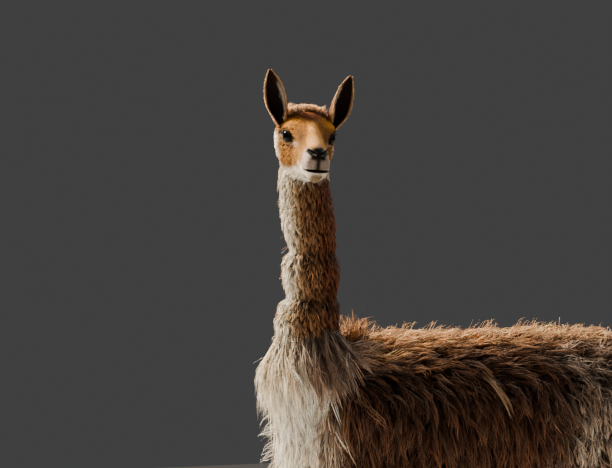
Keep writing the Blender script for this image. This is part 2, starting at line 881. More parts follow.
@dataclass(frozen=True)
class Head:
    """The head in its own frame: x forward, y to its left and z up, from between the eyes."""

    rings: int = 168
    sides: int = 168
    bunch: float = 0.24
    nose_round: float = 0.0032
    # How much closer the rings stand at the eyes, from where and how far, and at the nose from where
    crowd_eyes: Row = (1.2, 0.010, 0.024)
    crowd_nose: tuple[float, float] = (0.8, 0.12)
    powers: tuple[float, float] = (2.2, 1.85)
    eye: Eye = Eye()
    muzzle: Muzzle = Muzzle()
    # x, top, bottom, height of the greatest width and half width of the skin
    rows: tuple[Row, ...] = (
        (-0.0820, 0.006, -0.030, -0.010, 0.010),
        (-0.0780, 0.022, -0.050, -0.008, 0.029),
        (-0.0660, 0.036, -0.068, -0.004, 0.043),
        (-0.0460, 0.044, -0.077, 0.000, 0.0520),
        (-0.0220, 0.046, -0.082, 0.001, 0.0540),
        (0.0000, 0.044, -0.084, 0.000, 0.0520),
        (0.0200, 0.037, -0.083, -0.004, 0.0455),
        (0.0400, 0.027, -0.080, -0.014, 0.0360),
        (0.0600, 0.0175, -0.078, -0.026, 0.0295),
        (0.0800, 0.0095, -0.078, -0.036, 0.0262),
        (0.1000, 0.002, -0.078, -0.042, 0.0255),
        (0.1160, -0.005, -0.078, -0.046, 0.0258),
        (0.1280, -0.012, -0.0745, -0.046, 0.0235),
        (0.1350, -0.019, -0.068, -0.045, 0.0185),
        (0.1390, -0.028, -0.058, -0.044, 0.0105),
    )
    swells: tuple[Swell, ...] = (
        Swell((0.008, 0.041, 0.020), (0.020, 0.014, 0.009), 0.0050),
        Swell((0.044, 0.034, -0.012), (0.018, 0.012, 0.014), -0.0026),
        Swell((0.012, 0.049, -0.023), (0.022, 0.014, 0.014), -0.0070),
        Swell((-0.034, 0.050, -0.046), (0.026, 0.016, 0.024), 0.0030),
        Swell((-0.050, 0.050, -0.002), (0.022, 0.018, 0.024), 0.0055),
        Swell((0.032, 0.044, -0.024), (0.028, 0.016, 0.020), -0.0045),
        Swell((0.052, 0.000, 0.022), (0.030, 0.010, 0.012), 0.0016),
        Swell((0.074, 0.028, -0.058), (0.022, 0.012, 0.014), 0.0014),
        Swell((0.070, 0.026, -0.026), (0.024, 0.010, 0.010), -0.0014),
        Swell((0.112, 0.000, -0.080), (0.014, 0.014, 0.008), 0.0026),
        Swell((0.128, 0.020, -0.044), (0.010, 0.010, 0.010), 0.0012),
        Swell((-0.010, 0.000, 0.046), (0.022, 0.018, 0.010), 0.0020),
    )

    def ring_rows(self) -> Array:
        """The rows of evenly spread rings, drawn closer at the eyes, with a rounded front.

        Returns:
            One row of numbers for each ring.
        """
        rows = smooth_rows(self.rows, np.linspace(0, 1, 900))
        turn = np.linspace(0.03, 1.0, 60)[:, None] * math.pi / 2
        front = rows[-1]
        shrunk = front[3] + (np.array([[front[1], front[2]]]) - front[3]) * np.cos(turn)
        ahead = front[0] + self.nose_round * np.sin(turn)
        nose = np.hstack([ahead, shrunk, 0 * turn + front[3], front[4] * np.cos(turn)])
        rows = np.vstack([rows, nose[:-1]])
        step = np.linalg.norm(np.diff(rows[:, [0, 1, 4]], axis=0), axis=1)
        closer, *eyes = self.crowd_eyes
        crowd = 1 + closer * hump(rows[1:, 0], *eyes)
        crowd = crowd + self.crowd_nose[0] * (rows[1:, 0] > self.crowd_nose[1])
        along = np.concatenate([[0], np.cumsum(step * crowd)])
        wanted = np.linspace(0, along[-1], self.rings)
        return np.stack([np.interp(wanted, along, column) for column in rows.T], axis=1)

    def shape(self) -> Shape:
        """The head's skin with its bones, lids, nostrils and lips.

        Returns:
            The shape.
        """
        rings = lengthwise(self.ring_rows(), self.sides, self.powers, self.bunch)
        around = np.roll(rings, -1, axis=1) - np.roll(rings, 1, axis=1)
        outward = unit(np.cross(around, np.gradient(rings, axis=0)))
        middle = rings.mean(axis=1, keepdims=True)
        outward = outward * np.sign(dot(outward, rings - middle).mean())
        for swell in self.swells:
            rings = swell.raised(rings, outward)
        rings = self.muzzle.carved(rings, outward)
        rings = self.eye.lidded(rings)
        return lofted(rings)

    def bare(self, points: Array) -> Array:
        """How bare the skin is at points of the head: 1 at the eyes, nostrils and lips.

        Args:
            points: places in the head's frame.

        Returns:
            Shares from 0 to 1.
        """
        bare = np.zeros(points.shape[:-1])
        for side in (-1, 1):
            bare = np.maximum(bare, eased(1.60, 1.42, self.eye.rim_share(points, side)))
            bare = np.maximum(bare, eased(2.5, 2.0, self.muzzle.nostril_share(points, side)))
        height, half, round_share = self.muzzle.mouth_offset(points)
        lips = eased(0.0040, 0.0020, np.abs(height) - half) * eased(1.05, 0.9, round_share)
        lips = lips * (points[..., 0] > self.muzzle.mouth_x - 0.01)
        pad = eased(0.014, 0.010, np.abs(points[..., 1])) * (points[..., 0] > 0.126)
        pad = pad * eased(-0.036, -0.030, points[..., 2]) * eased(-0.012, -0.018, points[..., 2])
        return np.maximum(np.maximum(bare, lips), pad)


@dataclass(frozen=True)
class Ear:
    """A pointed, cupped ear in the head's frame."""

    side: int
    splay_deg: float
    root: Row = (-0.0360, 0.0490, 0.0330)
    length: float = 0.100
    half_width: float = 0.0225
    lean_deg: float = 8.0
    facing: Row = (0.93, 0.36, 0.0)
    bow: float = 0.004
    across: int = 22
    rings: int = 52
    # Share of the length, share of the half width, how far the edges curl round, and wall
    rows: tuple[Row, ...] = (
        (-0.14, 0.62, 150, 0.0050),
        (0.00, 0.74, 138, 0.0046),
        (0.15, 0.90, 116, 0.0040),
        (0.32, 1.00, 96, 0.0036),
        (0.50, 0.98, 82, 0.0034),
        (0.66, 0.84, 72, 0.0032),
        (0.80, 0.60, 64, 0.0028),
        (0.91, 0.34, 58, 0.0022),
        (0.985, 0.11, 52, 0.0014),
    )
    slim: float = 0.92
    # The inner face of the wall: how far it goes round, how deep it lies, and where it is taken to
    # begin, as shares of the outer face and of the wall
    inner_round: float = 0.97
    inner_depth: float = 0.7
    inner_start: float = 0.36

    def axes(self) -> tuple[Array, Array, Array]:
        """The ear's length, the way its cup faces and its width.

        Returns:
            Three ways of length one in the head's frame.
        """
        lean, splay = math.radians(self.lean_deg), math.radians(self.splay_deg)
        length = unit(np.array([-math.sin(lean), self.side * math.sin(splay), math.cos(splay)]))
        face = np.array(self.facing) * (1, self.side, 1)
        face = unit(face - length * (face @ length))
        return length, face, np.cross(length, face)

    def foot(self) -> Array:
        """The middle of the ear's root in the head's frame."""
        return np.array(self.root) * (1, self.side, 1)

    def shape(self) -> Shape:
        """The ear as a thin cup, open to the front.

        Returns:
            The shape.
        """
        length, face, wide = self.axes()
        rings = []
        for share, width, curl, wall in smooth_rows(self.rows, np.linspace(0, 1, self.rings)):
            angle = math.radians(curl)
            radius = self.half_width * width * self.slim / math.sin(min(angle, math.pi / 2))
            bow = self.bow * math.sin(math.pi * max(share, 0.0))
            centre = self.foot() + length * self.length * share + face * (radius - bow)
            turn = np.linspace(-angle, angle, self.across)[:, None]
            outer = centre + radius * (wide * np.sin(turn) - face * np.cos(turn))
            turn = turn[::-1] * self.inner_round
            radius = radius - wall * self.inner_depth
            inner = centre + radius * (wide * np.sin(turn) - face * np.cos(turn))
            rings.append(np.vstack([outer, inner]))
        return lofted(np.array(rings))

    def rolled(self, points: Array) -> tuple[Array, Array, Array]:
        """Points of the head against the ear's rolled wall.

        Args:
            points: places in the head's frame.

        Returns:
            The share of the way from the ear's back round to a rim, which is 1 on the rim; the
            same with the sign of its side; and the distance in from the outside of the wall.
        """
        length, face, wide = self.axes()
        offset = points - self.foot()
        share = offset @ length / self.length
        shares, widths, curls, _ = np.array(self.rows).T
        curl = np.radians(np.interp(share, shares, curls))
        radius = self.half_width * np.interp(share, shares, widths) * self.slim
        radius = radius / np.sin(np.minimum(curl, math.pi / 2))
        bow = self.bow * np.sin(math.pi * np.clip(share, 0, 1))
        first, second = offset @ wide, radius - bow - offset @ face
        turn = np.arctan2(first, second) / curl
        return np.abs(turn), turn, radius - np.hypot(first, second)

    def inward(self, points: Array) -> Array:
        """Places round the ear's wall, from 0 at its back to 1 at the rim nearer the crown."""
        way = -self.side * np.sign(self.axes()[2][1])
        return self.rolled(points)[1] * way

    def inside(self, points: Array) -> Array:
        """Which points of the head lie on the inside of the ear's wall.

        Args:
            points: places in the head's frame.

        Returns:
            True for each place inside.
        """
        share = (points - self.foot()) @ self.axes()[0] / self.length
        shares, _, _, walls = np.array(self.rows).T
        return self.rolled(points)[2] > self.inner_start * np.interp(share, shares, walls)

    def spread(self, points: Array) -> tuple[Array, Array]:
        """The share along the ear and the offset across it of points of the head.

        Args:
            points: places in the head's frame.

        Returns:
            Shares of the length, and offsets in metres.
        """
        length, _, wide = self.axes()
        offset = points - self.foot()
        return offset @ length / self.length, offset @ wide


class Part(Enum):
    """The parts that the skin is made of, as its faces know them."""

    BODY = 0
    HEAD = 1
    EAR_LEFT = 2
    EAR_RIGHT = 3
    TOE = 4


@dataclass(frozen=True)
class Vicuna:
    """The whole animal's measures, and the skin that covers them."""

    pose: HeadPose = HeadPose()
    trunk: Trunk = Trunk()
    neck: Neck = Neck()
    limbs: Limbs = Limbs()
    toes: Toes = Toes()
    tail: Tail = Tail()
    brisket: Brisket = Brisket()
    head: Head = Head()
    ears: tuple[Ear, Ear] = (Ear(1, 22.0), Ear(-1, 18.0))
    grain: float = 0.0062
    smoothing: int = 6
    softness: float = 0.5

    def ear_parts(self) -> tuple[tuple[Ear, Part], ...]:
        """Both ears, each with the part that its faces are marked with."""
        return tuple(zip(self.ears, (Part.EAR_LEFT, Part.EAR_RIGHT)))

    def shift(self) -> Array:
        """How far the frame's model stands from the design's own place.

        Returns:
            The way from one to the other.
        """
        boxes = [np.array(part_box(name)).mean(axis=0) for name in ("eye_left", "eye_right")]
        middles = [self.pose.placed(self.head.eye.middle(side)) for side in (1, -1)]
        return np.mean(boxes, axis=0) - np.mean(middles, axis=0)

    def skin(self, name: str) -> bpy.types.Object:
        """One closed skin over the whole body, each face marked with its part.

        Args:
            name: the object's name.

        Returns:
            The skin.
        """
        forms = [
            form
            for part in (self.trunk, self.neck, self.limbs, self.tail, self.brisket)
            for form in part.forms()
        ]
        starts = np.cumsum([0] + [len(form.points) for form in forms])
        faces = [
            tuple(corner + start for corner in face)
            for form, start in zip(forms, starts)
            for face in form.faces
        ]
        body = Shape(np.vstack([form.points for form in forms]), faces).made(name)
        melt = body.modifiers.new("melt", "REMESH")
        melt.mode = "VOXEL"
        melt.voxel_size = self.grain
        ease = body.modifiers.new("ease", "SMOOTH")
        ease.factor = self.softness
        ease.iterations = self.smoothing
        evaluated(body)
        marked(body, Part.BODY)
        others = []
        built = [(self.head.shape(), Part.HEAD)]
        built += [(ear.shape(), part) for ear, part in self.ear_parts()]
        for shape, part in built:
            shape.points = self.pose.placed(shape.points)
            others.append(shape.made(part.name))
            marked(others[-1], part)
        for shape in self.toes.forms(self.limbs.feet()):
            others.append(shape.made("toe"))
            marked(others[-1], Part.TOE)
        joined(body, others)
        body.data.polygons.foreach_set("use_smooth", np.ones(len(body.data.polygons), bool))
        return body


def marked(thing: bpy.types.Object, part: Part) -> None:
    """Marks every face of an object with the part it belongs to."""
    layer = thing.data.attributes.new("part", "INT", "FACE")
    layer.data.foreach_set("value", np.full(len(thing.data.polygons), part.value, np.int32))


@dataclass(frozen=True)
class Chart:
    """A cylinder round one part of the body, rolled out onto its own place of the bake map.

    It has a corner and a size on the map. On the body it has a start, an axis, the way from the axis
    to the middle of the roll, and its reach along the axis.
    """

    corner: tuple[float, float]
    size: tuple[float, float]
    start: Row
    axis: Row
    away: Row
    reach: tuple[float, float]
    flare: float = 0.7

    def laid(self, points: Array) -> Array:
        """Points as shares of the chart: along the axis, and round it from 0 to 1.

        Args:
            points: places on the body.

        Returns:
            Two shares for each place.
        """
        axis, away = unit(np.array(self.axis)), unit(np.array(self.away))
        side = np.cross(axis, away)
        offset = points - np.array(self.start)
        along = offset @ axis
        first, second = offset @ away, offset @ side
        radius = np.hypot(first, second)
        low, high = self.reach
        middle, half = (low + high) / 2, (high - low) / 2
        along = along - self.flare * radius * np.tanh(3 * (along - middle) / half)
        share = np.clip((along - low) / (high - low), 0.0, 1.0)
        return np.stack([share, np.arctan2(second, first) / (2 * math.pi) + 0.5], axis=-1)

    def placed(self, shares: Array) -> Array:
        """Shares of the chart as places on the bake map."""
        return np.array(self.corner) + np.clip(shares, 0.0, 1.0) * self.size


@dataclass
class Pelt:
    """The skin as a surface that the coat grows from."""

    points: Array
    corners: Array
    parts: Array
    tree: BVHTree = field(init=False)
    middles: Array = field(init=False)
    normals: Array = field(init=False)
    areas: Array = field(init=False)

    def __post_init__(self) -> None:
        """Works out the middles, normals and areas of the triangles."""
        first, second, third = (self.points[self.corners[:, k]] for k in range(3))
        cross = np.cross(second - first, third - first)
        self.middles = (first + second + third) / 3
        self.normals = unit(cross)
        self.areas = np.linalg.norm(cross, axis=1) / 2
        self.tree = BVHTree.FromPolygons(self.points.tolist(), self.corners.tolist())

    @classmethod
    def over(cls, skin: bpy.types.Object) -> "Pelt":
        """Reads the skin's triangles.

        Args:
            skin: the skin, its faces marked with their parts.

        Returns:
            The pelt.
        """
        mesh = skin.data
        mesh.calc_loop_triangles()
        points = np.empty(len(mesh.vertices) * 3)
        mesh.vertices.foreach_get("co", points)
        corners = np.empty(len(mesh.loop_triangles) * 3, np.int32)
        mesh.loop_triangles.foreach_get("vertices", corners)
        faces = np.empty(len(mesh.loop_triangles), np.int32)
        mesh.loop_triangles.foreach_get("polygon_index", faces)
        parts = np.empty(len(mesh.polygons), np.int32)
        mesh.attributes["part"].data.foreach_get("value", parts)
        return cls(points.reshape(-1, 3), corners.reshape(-1, 3), parts[faces])

    def roots(self, cover: Array, count: int, rng: np.random.Generator) -> tuple[Array, Array, Array]:
        """Spreads roots over the skin.

        Args:
            cover: how thickly each triangle is covered.
            count: how many roots.
            rng: where chance comes from.

        Returns:
            The roots, the way out of the skin there, and the triangle of each.
        """
        weight = np.cumsum(self.areas * cover)
        wanted = (np.arange(count) + rng.random(count)) / count * weight[-1]
        picks = np.minimum(np.searchsorted(weight, wanted), len(weight) - 1)
        first, second = rng.random((2, count, 1))
        over = first + second > 1
        first, second = np.where(over, 1 - first, first), np.where(over, 1 - second, second)
        a, b, c = (self.points[self.corners[picks, k]] for k in range(3))
        return a + (b - a) * first + (c - a) * second, self.normals[picks], picks

    def on(self, part: Part) -> Array:
        """Which triangles belong to a part."""
        return self.parts == part.value

    def nearest(self, places: Array) -> tuple[Array, Array, Array]:
        """The nearest skin to each place, the way out of it, and the height over it.

        Args:
            places: the places.

        Returns:
            The points of the skin, the ways and the heights.
        """
        near = np.empty_like(places)
        facing = np.empty_like(places)
        find = self.tree.find_nearest
        for row, place in enumerate(places.tolist()):
            spot, normal, _, _ = find(place)
            near[row], facing[row] = spot, normal
        return near, facing, dot(places - near, facing)


@dataclass
class Tufts:
    """Tufts of hair before they are a mesh: the stations of each and how it is coloured."""

    paths: Array
    facing: Array
    widths: Array
    tones: Array

    def part(self, chosen: Array) -> "Tufts":
        """The chosen tufts only."""
        return Tufts(self.paths[chosen], self.facing[chosen], self.widths[chosen], self.tones[chosen])


@dataclass(frozen=True)
class Weave:
    """How tufts are turned into a mesh: thin closed tubes of three sides that taper to a point."""

    flatness: float = 0.42
    root: float = 0.75
    widest: float = 0.30
    blunt: float = 0.8
    patch: float = 0.003

    def taper(self, shares: Array) -> Array:
        """Half a tuft's width along it, against its greatest.

        Args:
            shares: how far along the tuft, from 0 to 1.

        Returns:
            One width for each share.
        """
        rising = self.root + (1 - self.root) * shares / self.widest
        beyond = np.clip((shares - self.widest) / (1 - self.widest), 0, 1)
        return np.where(shares < self.widest, rising, np.cos(math.pi / 2 * beyond) ** self.blunt)

    def made(
        self, name: str, tufts: Tufts, spots: Array, roll_deg: float, rng: np.random.Generator
    ) -> bpy.types.Object:
        """Builds the tufts as one mesh.

        Args:
            name: the object's name.
            tufts: what to build.
            spots: where each tuft's root lies on the bake map.
            roll_deg: how far a tuft may be rolled about its own length.
            rng: where chance comes from.

        Returns:
            The object, with its bake map and its markings.
        """
        count, stations, _ = tufts.paths.shape
        rings = stations - 1
        shares = np.linspace(0, 1, stations)
        way = unit(np.gradient(tufts.paths, axis=1))
        across = unit(np.cross(way, tufts.facing[:, None]))
        through = np.cross(across, way)
        roll = np.radians(rng.uniform(-roll_deg, roll_deg, (count, 1, 1)))
        across, through = (
            across * np.cos(roll) + through * np.sin(roll),
            through * np.cos(roll) - across * np.sin(roll),
        )
        half = tufts.widths[:, None] / 2 * self.taper(shares)
        wide = across * half[..., None]
        thick = through * (half * self.flatness)[..., None]
        body = tufts.paths[:, :rings]
        ring = np.stack(
            [body + (wide - thick)[:, :rings], body + thick[:, :rings], body - (wide + thick)[:, :rings]],
            axis=2,
        )
        points = np.concatenate([ring.reshape(count, rings * 3, 3), tufts.paths[:, -1:]], axis=1)
        single = self.triangles(rings)
        per_tuft = rings * 3 + 1
        corners = single[None] + (np.arange(count) * per_tuft)[:, None, None]
        place = np.concatenate(
            [
                np.stack([np.tile((-0.5, 0.0, 0.5), rings), np.repeat(shares[:rings], 3)], axis=1),
                [(0.0, 1.0)],
            ]
        )
        spread = spots[:, None] + place[None] * self.patch
        rounds = np.repeat(tufts.tones[:, :rings], 3, axis=1)
        shade = np.concatenate([rounds, tufts.tones[:, -1:]], axis=1)
        return meshed(name, points.reshape(-1, 3), corners.reshape(-1, 3), spread.reshape(-1, 2), shade)

    def triangles(self, rings: int) -> Array:
        """The triangles of one tuft with this many rings and a point.

        Args:
            rings: how many rings of three points a tuft has.

        Returns:
            The three points of each triangle.
        """
        low = np.arange(rings * 3).reshape(rings, 3)
        after = np.roll(low, -1, axis=1)
        first = np.stack([low[:-1], after[:-1], after[1:]], axis=-1).reshape(-1, 3)
        second = np.stack([low[:-1], after[1:], low[1:]], axis=-1).reshape(-1, 3)
        tip = np.stack([low[-1], after[-1], np.full(3, rings * 3)], axis=-1)
        return np.concatenate([first, second, tip, [(2, 1, 0)]])


def meshed(name: str, points: Array, corners: Array, spread: Array, shade: Array) -> bpy.types.Object:
    """A mesh object of triangles with a bake map and colours.

    Args:
        name: the object's name.
        points: its points.
        corners: its triangles.
        spread: the place of each point on the bake map.
        shade: the colour of each point.

    Returns:
        The object.
    """
    mesh = bpy.data.meshes.new(name)
    mesh.vertices.add(len(points))
    mesh.vertices.foreach_set("co", points.astype(np.float32).ravel())
    mesh.loops.add(corners.size)
    mesh.loops.foreach_set("vertex_index", corners.astype(np.int32).ravel())
    mesh.polygons.add(len(corners))
    mesh.polygons.foreach_set("loop_start", np.arange(0, corners.size, 3, dtype=np.int32))
    mesh.polygons.foreach_set("use_smooth", np.ones(len(corners), bool))
    mesh.update(calc_edges=True)
    layer = mesh.uv_layers.new(name=BAKE_MAP)
    layer.uv.foreach_set("vector", spread[corners.ravel()].astype(np.float32).ravel())
    painted(mesh, shade.reshape(-1, 3))
    thing = bpy.data.objects.new(name, mesh)
    bpy.context.scene.collection.objects.link(thing)
    return thing


def painted(mesh: bpy.types.Mesh, shade: Array) -> None:
    """Writes a colour to each point of a mesh.

    Args:
        mesh: the mesh.
        shade: the colour of each point.
    """
    layer = mesh.color_attributes.new(MARKINGS, "FLOAT_COLOR", "POINT")
    colours = np.ones((len(shade), 4), np.float32)
    colours[:, :3] = np.clip(shade, 0.0, 1.0)
    layer.data.foreach_set("color", colours.ravel())


class Tone(Enum):
    """The colours of the coat and the bare skin, as linear red, green and blue."""

    GOLDEN = (0.580, 0.260, 0.075)
    FAWN = (0.290, 0.125, 0.045)
    BUFF = (0.400, 0.200, 0.080)
    TAN = (0.210, 0.100, 0.046)
    RUSSET = (0.142, 0.043, 0.016)
    UMBER = (0.036, 0.012, 0.006)
    BROWN = (0.062, 0.024, 0.011)
    CREAM = (0.680, 0.480, 0.280)
    WHITE = (0.880, 0.800, 0.700)
    ASH = (0.600, 0.525, 0.480)
    BROW = (0.600, 0.260, 0.032)
    FACE = (0.230, 0.098, 0.022)
    CHEEK = (0.310, 0.150, 0.030)
    NOSE = (0.0085, 0.0052, 0.0042)
    LIP = (0.018, 0.010, 0.007)
    EAR_LINING = (0.016, 0.008, 0.005)
    EAR_STREAK = (0.800, 0.680, 0.590)
    MUZZLE = (0.420, 0.350, 0.310)
    CHIN = (0.120, 0.074, 0.018)

    def spread(self, count: int) -> Array:
        """This colour for a number of places."""
        return np.tile(self.value, (count, 1))


def layered(base: Tone | Array, *layers: tuple[Tone | Array, Array | float]) -> Array:
    """Colours laid over each other in turn.

    Args:
        base: the lowest colour of each place.
        layers: each next colour, with the share that it covers of each place.

    Returns:
        Red, green and blue for each place.
    """
    found = base
    for colour, share in layers:
        found = blend(found, colour.value if isinstance(colour, Tone) else colour, share)
    return found


@dataclass(frozen=True)
class Markings:
    """Where each colour lies on the animal."""

    animal: Vicuna
    waists: Row = (1.048, 0.956, 0.868)
    # Half the width of the nose's pale bridge at places along the head
    bridge_x: Row = (0.030, 0.063, 0.100, 0.125)
    bridge_half: Row = (0.009, 0.013, 0.019, 0.016)
    cheek_spots: tuple[Row, ...] = (
        (0.012, 0.047, -0.024),
        (0.034, 0.038, -0.034),
        (0.060, 0.031, -0.031),
    )

    def at(self, points: Array, normals: Array, parts: Array) -> Array:
        """The colour of the hide and its hair.

        Args:
            points: places on the skin.
            normals: the way out of the skin at each.
            parts: the part each belongs to.

        Returns:
            Red, green and blue for each place.
        """
        seen = self.animal.pose.seen(points)
        turned = normals @ self.animal.pose.axes()
        colour = self.body(points, normals)
        colour = np.where((parts == Part.HEAD.value)[:, None], self.head(seen, turned), colour)
        for ear, part in self.animal.ear_parts():
            colour = np.where((parts == part.value)[:, None], self.ear(ear, seen), colour)
        blotch = 1 + 0.10 * Ripple(3, 0.060).at(points) + 0.06 * Ripple(4, 0.018).at(points)
        return np.clip(colour * blotch[:, None], 0.0, 0.9)

    def body(self, points: Array, normals: Array) -> Array:
        """The colours of the trunk, neck, tail and legs.

        Args:
            points: places on the skin.
            normals: the way out of the skin at each.

        Returns:
            Red, green and blue for each place.
        """
        x, y, z = points.T
        up = normals[:, 2]
        ragged = 0.020 * Ripple(9, 0.080).at(points)
        # The dark fold over the shoulder, and the woolly ash-streaked haunch
        crease = hump(z + ragged, 0.790, 0.012) * eased(-0.30, -0.26, x) * eased(0.06, 0.0, x)
        rear = eased(0.12, 0.22, x + 2.5 * ragged) * eased(0.860, 0.835, z) * eased(0.44, 0.50, z)
        colour = layered(
            Tone.RUSSET.spread(len(points)),
            (Tone.UMBER, 0.80 * self.streak(points)),
            (Tone.UMBER, 0.8 * crease),
            (Tone.FAWN, 0.80 * eased(0.800, 0.840, z + ragged) * self.streak(points * 1.7)),
            (Tone.GOLDEN, eased(0.74, 0.95, up + ragged * 2)),
            (Tone.CREAM, 0.35 * eased(0.85, 0.99, up + ragged * 2)),
            (layered(Tone.TAN.spread(len(points)), (Tone.ASH, self.streak(points * 0.8))), rear * 0.9),
            (Tone.UMBER, 0.85 * thigh_folds(points)),
            (Tone.TAN, 0.5 * eased(0.66, 0.60, z + ragged) * self.streak(points * 1.3)),
            (Tone.CREAM, eased(-0.25, -0.70, up) * (z > 0.45)),
        )
        # The legs, pale inside, and the chest, whose white front darkens round to the shoulders
        leg = eased(0.575, 0.500, z)
        inner = eased(0.10, 0.55, -normals[:, 1] * np.sign(y))
        round_chest = 0.883 * (x + 0.33) + 0.469 * np.abs(y) + 0.6 * ragged - 0.010
        chest = eased(0.860, 0.83, z) * (z > 0.40) * (x < -0.2)
        dusk = chest * eased(-0.02, 0.03, round_chest) * eased(0.055, 0.045, round_chest)
        streaks = Ripple(12, 0.045).at(points * (1, 1, 0.3))
        pale = layered(Tone.ASH.spread(len(points)), (Tone.WHITE, eased(-0.3, 0.5, streaks)))
        colour = layered(
            colour,
            (Tone.FAWN, leg),
            (Tone.CREAM, leg * inner),
            (Tone.UMBER, 0.35 * eased(0.11, 0.05, z)),
            (Tone.TAN, 0.85 * chest * eased(0.068, 0.050, round_chest)),
            (pale, chest * eased(0.052, 0.036, round_chest)),
            (Tone.WHITE, chest * eased(0.028, 0.006, round_chest)),
            (Tone.TAN, 0.85 * dusk * eased(0.1, 0.6, -streaks)),
        )
        return blend(colour, self.neck(points, normals), eased(0.850, 0.880, neck_height(points)))

    def neck(self, points: Array, normals: Array) -> Array:
        """The neck's colours: pale in front and brown behind, and dark in the waists.

        Args:
            points: places on the skin.
            normals: the way out of the skin at each.

        Returns:
            Red, green and blue for each place.
        """
        facing = -normals[:, 0]
        pale = eased(0.35, 0.80, self.streak(points * (1.3, 1.3, 0.4)))
        brown = eased(0.45, 0.90, self.streak(points * (1, 1, 0.35) + 0.5)) * eased(0.97, 0.6, facing)
        ragged = points[:, 2] + 0.25 * ragged_waist(points)
        return layered(
            Tone.RUSSET.spread(len(points)),
            (Tone.TAN, eased(-0.10, 0.12, facing)),
            (Tone.BUFF, 0.70 * eased(0.05, 0.35, facing) * (0.20 + 0.80 * pale)),
            (Tone.CREAM, eased(0.58, 0.88, facing)),
            (Tone.TAN, 0.60 * brown),
            (Tone.WHITE, 0.7 * eased(0.80, 0.97, facing)),
            *(
                (Tone.UMBER, 0.90 * hump(ragged, height, 0.009) * eased(0.97, 0.7, facing))
                for height in self.waists
            ),
        )

    def streak(self, points: Array) -> Array:
        """Shares of the darker hair, in streaks."""
        return np.clip(0.5 + 0.5 * Ripple(7, 0.050).at(points) + 0.3 * Ripple(8, 0.016).at(points), 0, 1)

    def head(self, points: Array, normals: Array) -> Array:
        """The head's colours.

        Args:
            points: places in the head's frame.
            normals: the way out of the skin at each, in that frame.

        Returns:
            Red, green and blue for each place.
        """
        x, y, z = points.T
        aside = np.abs(y)
        folded = np.stack([x, aside, z], axis=1)
        ragged = 0.004 * Ripple(14, 0.016).at(points)
        # The brown band over the brows, with a front edge that slants back to either side
        brow_edge = 0.030 - 0.95 * aside + 0.016 * hump(y, 0.0, 0.010)
        band = eased(-0.030, -0.018, x + ragged) * eased(brow_edge + 0.006, brow_edge - 0.006, x + ragged)
        # The golden bridge of the nose
        half = np.interp(x, self.bridge_x, self.bridge_half)
        bridge = eased(half + 0.004, half - 0.004, aside + ragged) * eased(0.028, 0.042, x)
        bridge = bridge * eased(0.127, 0.116, x) * (normals[:, 2] > -0.2)
        # The paler cheeks, the white behind them and under the jaw, and the greyish muzzle
        patchy = eased(0.2, 0.9, Ripple(15, 0.022).at(points)) * eased(-0.005, -0.020, z)
        behind = eased(-0.004, -0.036, x + ragged) * eased(0.014, -0.012, z + ragged)
        jaw = eased(-0.050, -0.068, z + 1.5 * ragged - 0.25 * np.clip(x - 0.03, -0.05, 0.05))
        muzzle = eased(0.078, 0.118, x + 2 * ragged) * eased(-0.002, -0.026, z + 2 * ragged)
        chin = eased(-0.058, -0.066, z) * eased(0.017, 0.009, aside + ragged) * eased(0.04, 0.07, x)
        colour = layered(
            Tone.FACE.spread(len(points)),
            (Tone.CHEEK, 0.70 * eased(0.030, 0.052, x) * eased(0.020, -0.004, z)),
            (Tone.RUSSET, 0.55 * eased(-0.02, -0.06, x)),
            (Tone.BROW, 0.95 * bell(folded, (0.010, 0.038, 0.026), (0.026, 0.020, 0.012))),
            (Tone.RUSSET, 0.85 * band * eased(0.014, 0.024, z + ragged)),
            (Tone.GOLDEN, eased(0.030, 0.040, z) * eased(-0.018, -0.030, x)),
            (Tone.BROW, 0.95 * bridge),
            (Tone.CREAM, 0.38 * bridge * eased(half, half - 0.012, aside + 2 * ragged)),
            (Tone.BROWN, 0.90 * bell(folded, (0.066, 0.0265, 0.004), (0.024, 0.0110, 0.020))),
            (Tone.WHITE, 0.28 * bell(folded, (0.038, 0.037, -0.012), (0.020, 0.014, 0.005))),
            (Tone.CREAM, 0.30 * patchy * eased(0.09, 0.07, x)),
            (Tone.WHITE, 0.85 * behind),
            (Tone.WHITE, 0.92 * jaw * eased(0.125, 0.095, x)),
            *((Tone.FACE, 0.80 * bell(folded, spot, (0.009, 0.010, 0.006))) for spot in self.cheek_spots),
            (Tone.MUZZLE, 0.9 * muzzle),
            (Tone.WHITE, 0.80 * eased(-0.050, -0.064, z)),
            (Tone.CHIN, 0.90 * chin),
        )
        return self.bare(points, colour)

    def bare(self, points: Array, under: Array) -> Array:
        """The dark bare skin of the eyes, nose and lips.

        Args:
            points: places in the head's frame.
            under: the head's colours, which the bare skin is laid over.

        Returns:
            Red, green and blue for each place.
        """
        head = self.animal.head
        colour = under
        x, y, z = points.T
        aside = np.abs(y)
        for side in (-1, 1):
            rim = eased(1.62, 1.40, head.eye.rim_share(points, side))
            rim = np.maximum(rim, head.eye.liner(points, side))
            slit = head.muzzle.nostril_share(points, side)
            colour = layered(colour, (Tone.NOSE, rim), (Tone.NOSE, eased(2.2, 1.5, slit)))
            colour = colour * (1 - 0.75 * eased(1.15, 0.85, slit))[:, None]
